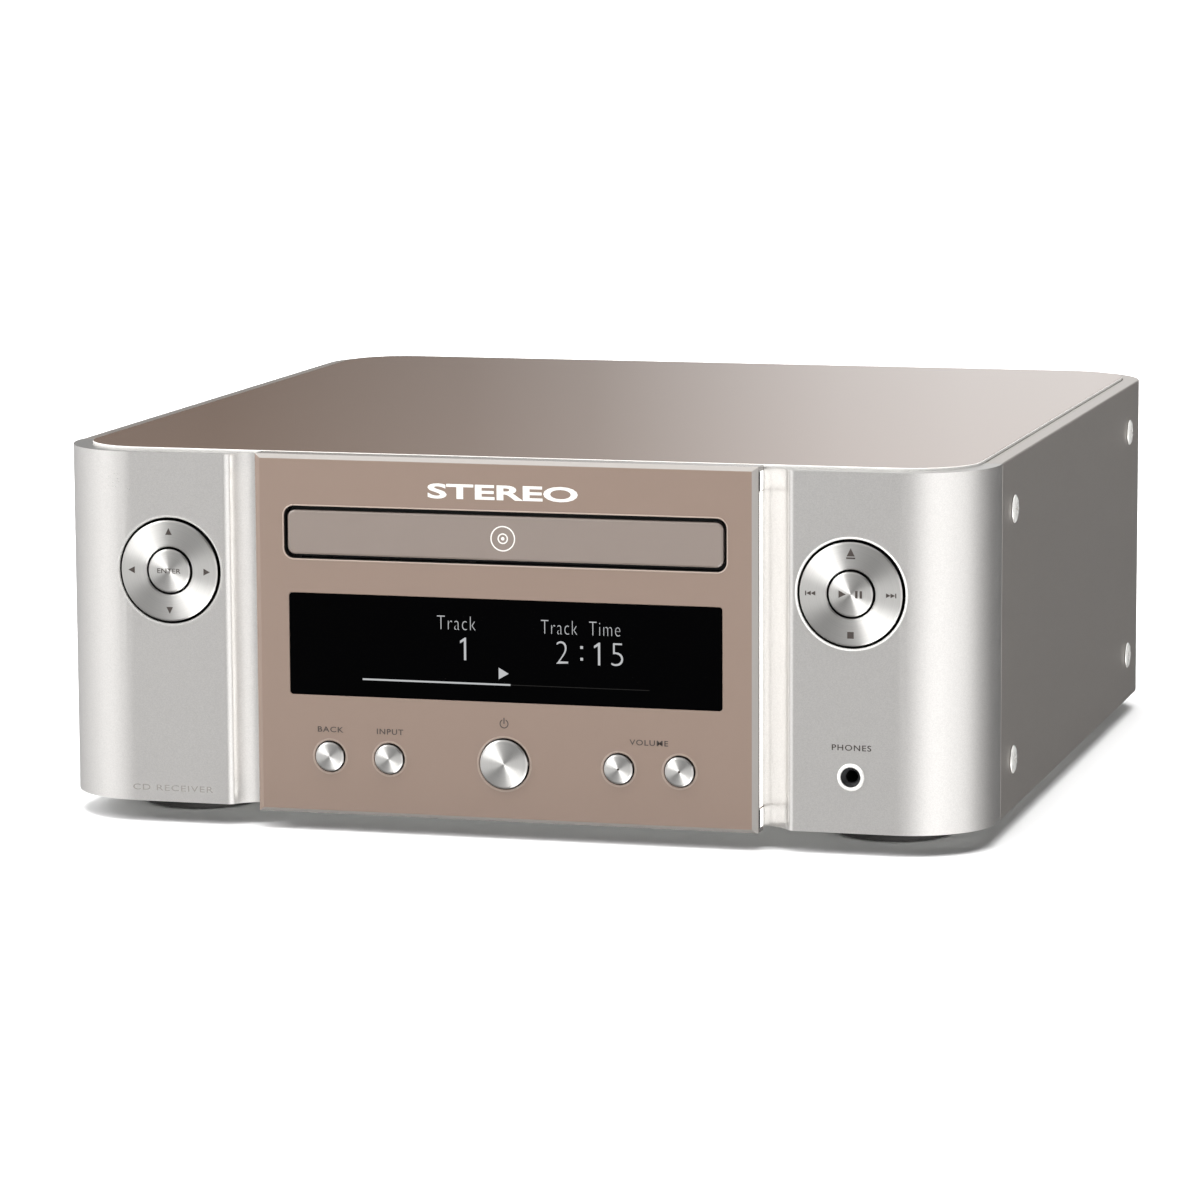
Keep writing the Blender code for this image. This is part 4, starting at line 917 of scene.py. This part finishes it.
def makeDigital():
    shield = frameShape(-54.0, -42.0, 29.5, 38.5, 290.9, 291.3, (-56.25, -39.75, 26.95, 41.25))
    finished("networkShield", shield, brightNickel, edge=0.1)
    skirt = frameShape(-56.05, -39.95, 27.15, 41.05, 289.8, 291.1, 0.25)
    finished("networkSkirt", skirt, brightNickel)
    liner = frameShape(-53.9, -42.1, 29.6, 38.4, 279.4, 291.0, 0.08)
    finished("networkLiner", liner, deepBlack)
    pins = [boxShape(x - 0.2, x + 0.2, 281.0, 289.0, 36.9, 37.2) for x in [-51.6 + 1.02 * i for i in range(8)]]
    finished("networkPins", together(*pins), goldPlate)
    for name, x, finish in (("green", -52.3, guideGlow), ("amber", -43.7, goldPlate)):
        finished("networkLamp_" + name, slab(x - 0.7, x + 0.7, 39.1, 40.3, 290.9, 291.4, 0.2), finish)
    holder = frameShape(-34.6, -29.0, 29.8, 35.6, 290.9, 291.4, (-36.75, -26.75, 26.95, 38.25), 0.6)
    finished("opticalShell", holder, blackPlastic, edge=0.15)
    cover = frameShape(-36.55, -26.95, 27.15, 38.05, 289.8, 291.15, 0.2)
    finished("opticalSkirt", cover, blackPlastic)
    flap = slab(-34.4, -29.2, 30.0, 35.4, 289.2, 290.0, 0.5)
    finished("opticalFlap", flap, deepBlack, edge=0.12)
    for count, x in enumerate((-103.3, -94.7), 1):
        pin = turned([(0, 283.0), (1.3, 283.0), (1.3, 289.2), (0.8, 289.7), (0, 289.8)], x, 33.0, steps=32)
        finished(f"mainsPin_{count}", pin, brightNickel)
    thread = [(4.75, 290.2)]
    for i in range(8):
        thread += [(4.75, 290.6 + i), (5.0, 290.85 + i), (5.0, 291.05 + i), (4.75, 291.3 + i)]
    thread += [(4.6, 298.9), (4.6, 290.2)]
    finished("aerialThread", turned(thread, -76, 44, closed=True), brightNickel, sharp=50)
    nut = flatShape([(-76 + 6.6 * math.cos(math.radians(60 * i)), 44 + 6.6 * math.sin(math.radians(60 * i)))
                     for i in range(6)], at=289.8)
    nut = carved(pushOut(nut, 1.2), [disc(-76, 44, 4.72, 289, 292)])
    finished("aerialNut", nut, brightNickel, edge=0.2)
    tip = band(1.05, 4.3, 299.0, 299.1, -76, 44, 48)
    finished("aerialInsulator", tip, whitePlastic)


# Small dark screws that hold the panel and the sockets, with cross slots
def makeRearScrews():
    places = [(-108.5, 12.2), (-36, 12.2), (36, 12.2), (108.5, 12.2), (-108.5, 103), (0, 103), (108.5, 103),
              (-6, 43), (-76, 54.5), (70.5, 50.3), (-62, 45)]
    for count, (x, z) in enumerate(places, 1):
        head = turned([(0, 289.75), (2.6, 289.75), (2.5, 290.2), (1.9, 290.7), (0, 290.85)], x, z, steps=32)
        turn = Matrix.Translation((x, 0, z)) @ Matrix.Rotation(math.radians(23 * count), 4, "Y")
        slots = [moved(boxShape(-half, half, 290.35, 292, -thick, thick), turn)
                 for half, thick in ((1.2, 0.28), (0.28, 1.2))]
        finished(f"rearScrew_{count}", carved(head, slots), blackPlastic if count > 7 else brightNickel)


def makeRearLabels():
    face = rear["face"]
    words = [("SPEAKERS", 70.5, 57.0, 22, 2.4), ("R", 51.5, 51.2, 1.6, 2.2), ("L", 89.5, 51.2, 1.4, 2.2),
             ("+", 61.0, 22.4, 1.8, 1.8), ("+", 99.0, 22.4, 1.8, 1.8), ("-", 42.0, 22.4, 1.8, 0.4),
             ("-", 80.0, 22.4, 1.8, 0.4), ("ANALOG", -6.0, 64.6, 14, 2.2), ("IN", 13.0, 50.0, 3.0, 2.0),
             ("OUT", 13.6, 36.0, 5.0, 2.0), ("L", 1.0, 60.6, 1.3, 1.9), ("R", -13.0, 60.6, 1.5, 1.9),
             ("NETWORK", -48.0, 45.0, 13.6, 1.9), ("OPTICAL IN", -31.7, 22.6, 14, 1.9),
             ("FM / DAB", -76.0, 61.0, 13.6, 1.9), ("AC IN", -99.0, 43.4, 8.6, 2.0)]
    for count, (text, x, z, width, height) in enumerate(words, 1):
        shape = lettering(text, x, z, width, height, face, 0.0, facing=1)
        finished(f"rearLabel_{count}", shape, paleInk, weighted=False)
    outline = frameShape(33.6, 107.4, 25.0, 54.4, face, face + 0.03, 0.25, 1.5)
    finished("rearFrames", outline, paleInk, weighted=False)


makePosts()
makePhono()
makeDigital()
makeRearScrews()
makeRearLabels()
print("rear made")

studio = {"floorHalf": 30.0, "floorGlow": 1.0, "floorTone": 0.72, "nearRadius": 0.45, "farRadius": 1.6}
# Brightness of the room by angle round the object: 0 is in front of it, + to its right.
# Just below the horizon, which upright faces mirror: a soft box on each side of a grey front, and a dark rear
roomLow = [(-180, 0.15), (-155, 0.4), (-105, 0.85), (-60, 1.4), (-45, 1.25), (-20, 0.6), (10, 0.6), (35, 1.5),
           (50, 1.65), (85, 1.4), (110, 0.6), (135, 0.22), (180, 0.12)]
# Just above it: the same, with a pale card straight behind that the top plate mirrors
roomHigh = [(-180, 0.25), (-170, 0.95), (-168, 0.85), (-164, 0.2), (-160, 0.02), (-105, 0.85), (-60, 1.4),
            (-30, 0.8), (0, 0.6), (50, 1.6), (85, 1.4), (120, 0.4), (180, 0.25)]
# Well above and well below, where only the spun faces look: bright over the left and under the right
roomAbove = [(-180, 0.3), (-90, 1.4), (-75, 3.0), (-67, 7.5), (-44, 8.0), (-37, 1.4), (0, 0.4), (25, 0.05),
             (60, 0.05), (110, 0.3), (180, 0.3)]
roomBelow = [(-180, 0.2), (-80, 0.02), (-40, 0.01), (-25, 0.5), (0, 0.8), (7, 6.5), (42, 7.5), (52, 3.0),
             (75, 0.5), (130, 0.3), (180, 0.2)]
roomTop = 0.9  # straight up, where the edges of the top look


def roomRamp(tree, turn, stops):
    ramp = addNode(tree, "ShaderNodeValToRGB", {"Fac": turn})
    ramp.color_ramp.interpolation = "LINEAR"
    points = ramp.color_ramp.elements
    while len(points) > 1:
        points.remove(points[-1])
    for count, (angle, bright) in enumerate(stops):
        place = (angle + 180) / 360
        point = points[0] if count == 0 else points.new(place)
        point.position, point.color = place, (bright, bright, bright, 1)
    return ramp.outputs["Color"]


def makeRoom():
    world = bpy.data.worlds.new("room")
    bpy.context.scene.world = world
    world.use_nodes = True
    tree = world.node_tree
    tree.nodes.clear()
    way = addNode(tree, "ShaderNodeTexCoord").outputs["Generated"]
    part = addNode(tree, "ShaderNodeSeparateXYZ", {0: way}).outputs
    turn = maths(tree, "ARCTAN2", part[0], maths(tree, "MULTIPLY", part[1], -1.0))
    turn = remap(tree, turn, -math.pi, math.pi, 0.0, 1.0)
    low, high = roomRamp(tree, turn, roomLow), roomRamp(tree, turn, roomHigh)
    walls = blendColour(tree, remap(tree, part[2], -0.01, 0.05, 0.0, 1.0), low, high)
    above, below = roomRamp(tree, turn, roomAbove), roomRamp(tree, turn, roomBelow)
    room = blendColour(tree, remap(tree, part[2], 0.20, 0.42, 0.0, 1.0), walls, above)
    room = blendColour(tree, remap(tree, part[2], 0.74, 0.86, 0.0, 1.0), room, (roomTop,) * 3 + (1,))
    room = blendColour(tree, remap(tree, part[2], -0.34, -0.52, 0.0, 1.0), room, below)
    seen = addNode(tree, "ShaderNodeLightPath").outputs["Is Camera Ray"]
    shown = blendColour(tree, seen, room, (1.0, 1.0, 1.0, 1))
    back = addNode(tree, "ShaderNodeBackground", {"Color": shown})
    out = addNode(tree, "ShaderNodeOutputWorld")
    tree.links.new(back.outputs[0], out.inputs["Surface"])


def makeFloor():
    bm = bmesh.new()
    bmesh.ops.create_grid(bm, x_segments=1, y_segments=1, size=studio["floorHalf"])
    floor = plainObject("studioFloor", bm)
    made, tree, shader = newFinish("studioPale", Roughness=0.9, Specular_IOR_Level=0.0,
                                   Emission_Strength=studio["floorGlow"])
    shader.inputs["Base Color"].default_value = (studio["floorTone"],) * 3 + (1,)
    # The floor glows a little only far from the object, where the lamp fades
    place = addNode(tree, "ShaderNodeTexCoord").outputs["Object"]
    away = addNode(tree, "ShaderNodeVectorMath", {0: place}, operation="LENGTH").outputs["Value"]
    far = remap(tree, away, studio["nearRadius"], studio["farRadius"], 0.0, 1.0)
    tree.links.new(blendColour(tree, far, (0, 0, 0, 1), (1, 1, 1, 1)), shader.inputs["Emission Color"])
    floor.data.materials.append(made)
    floor.visible_glossy = False


def softLight(name, place, aim, size, power):
    data = bpy.data.lights.new(name, "AREA")
    data.shape, data.size, data.energy = "DISK", size, power
    made = bpy.data.objects.new(name, data)
    made.location = place
    made.rotation_euler = (Vector(aim) - Vector(place)).to_track_quat("-Z", "Y").to_euler()
    made.visible_glossy = False
    bpy.context.scene.collection.objects.link(made)


camera = {"place": (0.41424, -1.5512, 0.28505), "turn": 15.3797, "down": 8.3666, "roll": -0.2704,
          "lens": 153.678}


def makeCamera():
    data = bpy.data.cameras.new("camera")
    data.lens, data.sensor_width, data.clip_end = camera["lens"], 36.0, 100.0
    made = bpy.data.objects.new("camera", data)
    made.rotation_mode = "QUATERNION"
    made.location = camera["place"]
    turn, down, roll = [math.radians(camera[key]) for key in ("turn", "down", "roll")]
    turn = (Matrix.Rotation(turn, 3, "Z") @ Matrix.Rotation(math.pi / 2 - down, 3, "X") @
            Matrix.Rotation(roll, 3, "Z"))
    made.rotation_quaternion = turn.to_quaternion()
    bpy.context.scene.collection.objects.link(made)
    bpy.context.scene.camera = made


makeRoom()
makeFloor()
softLight("overhead", (0.1, -0.2, 2.2), (0, 0, 0), 2.4, 112)
softLight("upperLeft", (-1.3, -1.5, 1.3), (0, 0, 0.06), 0.8, 6)
makeCamera()
shown = bpy.context.scene.view_settings
shown.view_transform, shown.look, shown.exposure, shown.gamma = "Standard", "None", 0.0, 1.0
print("studio made")
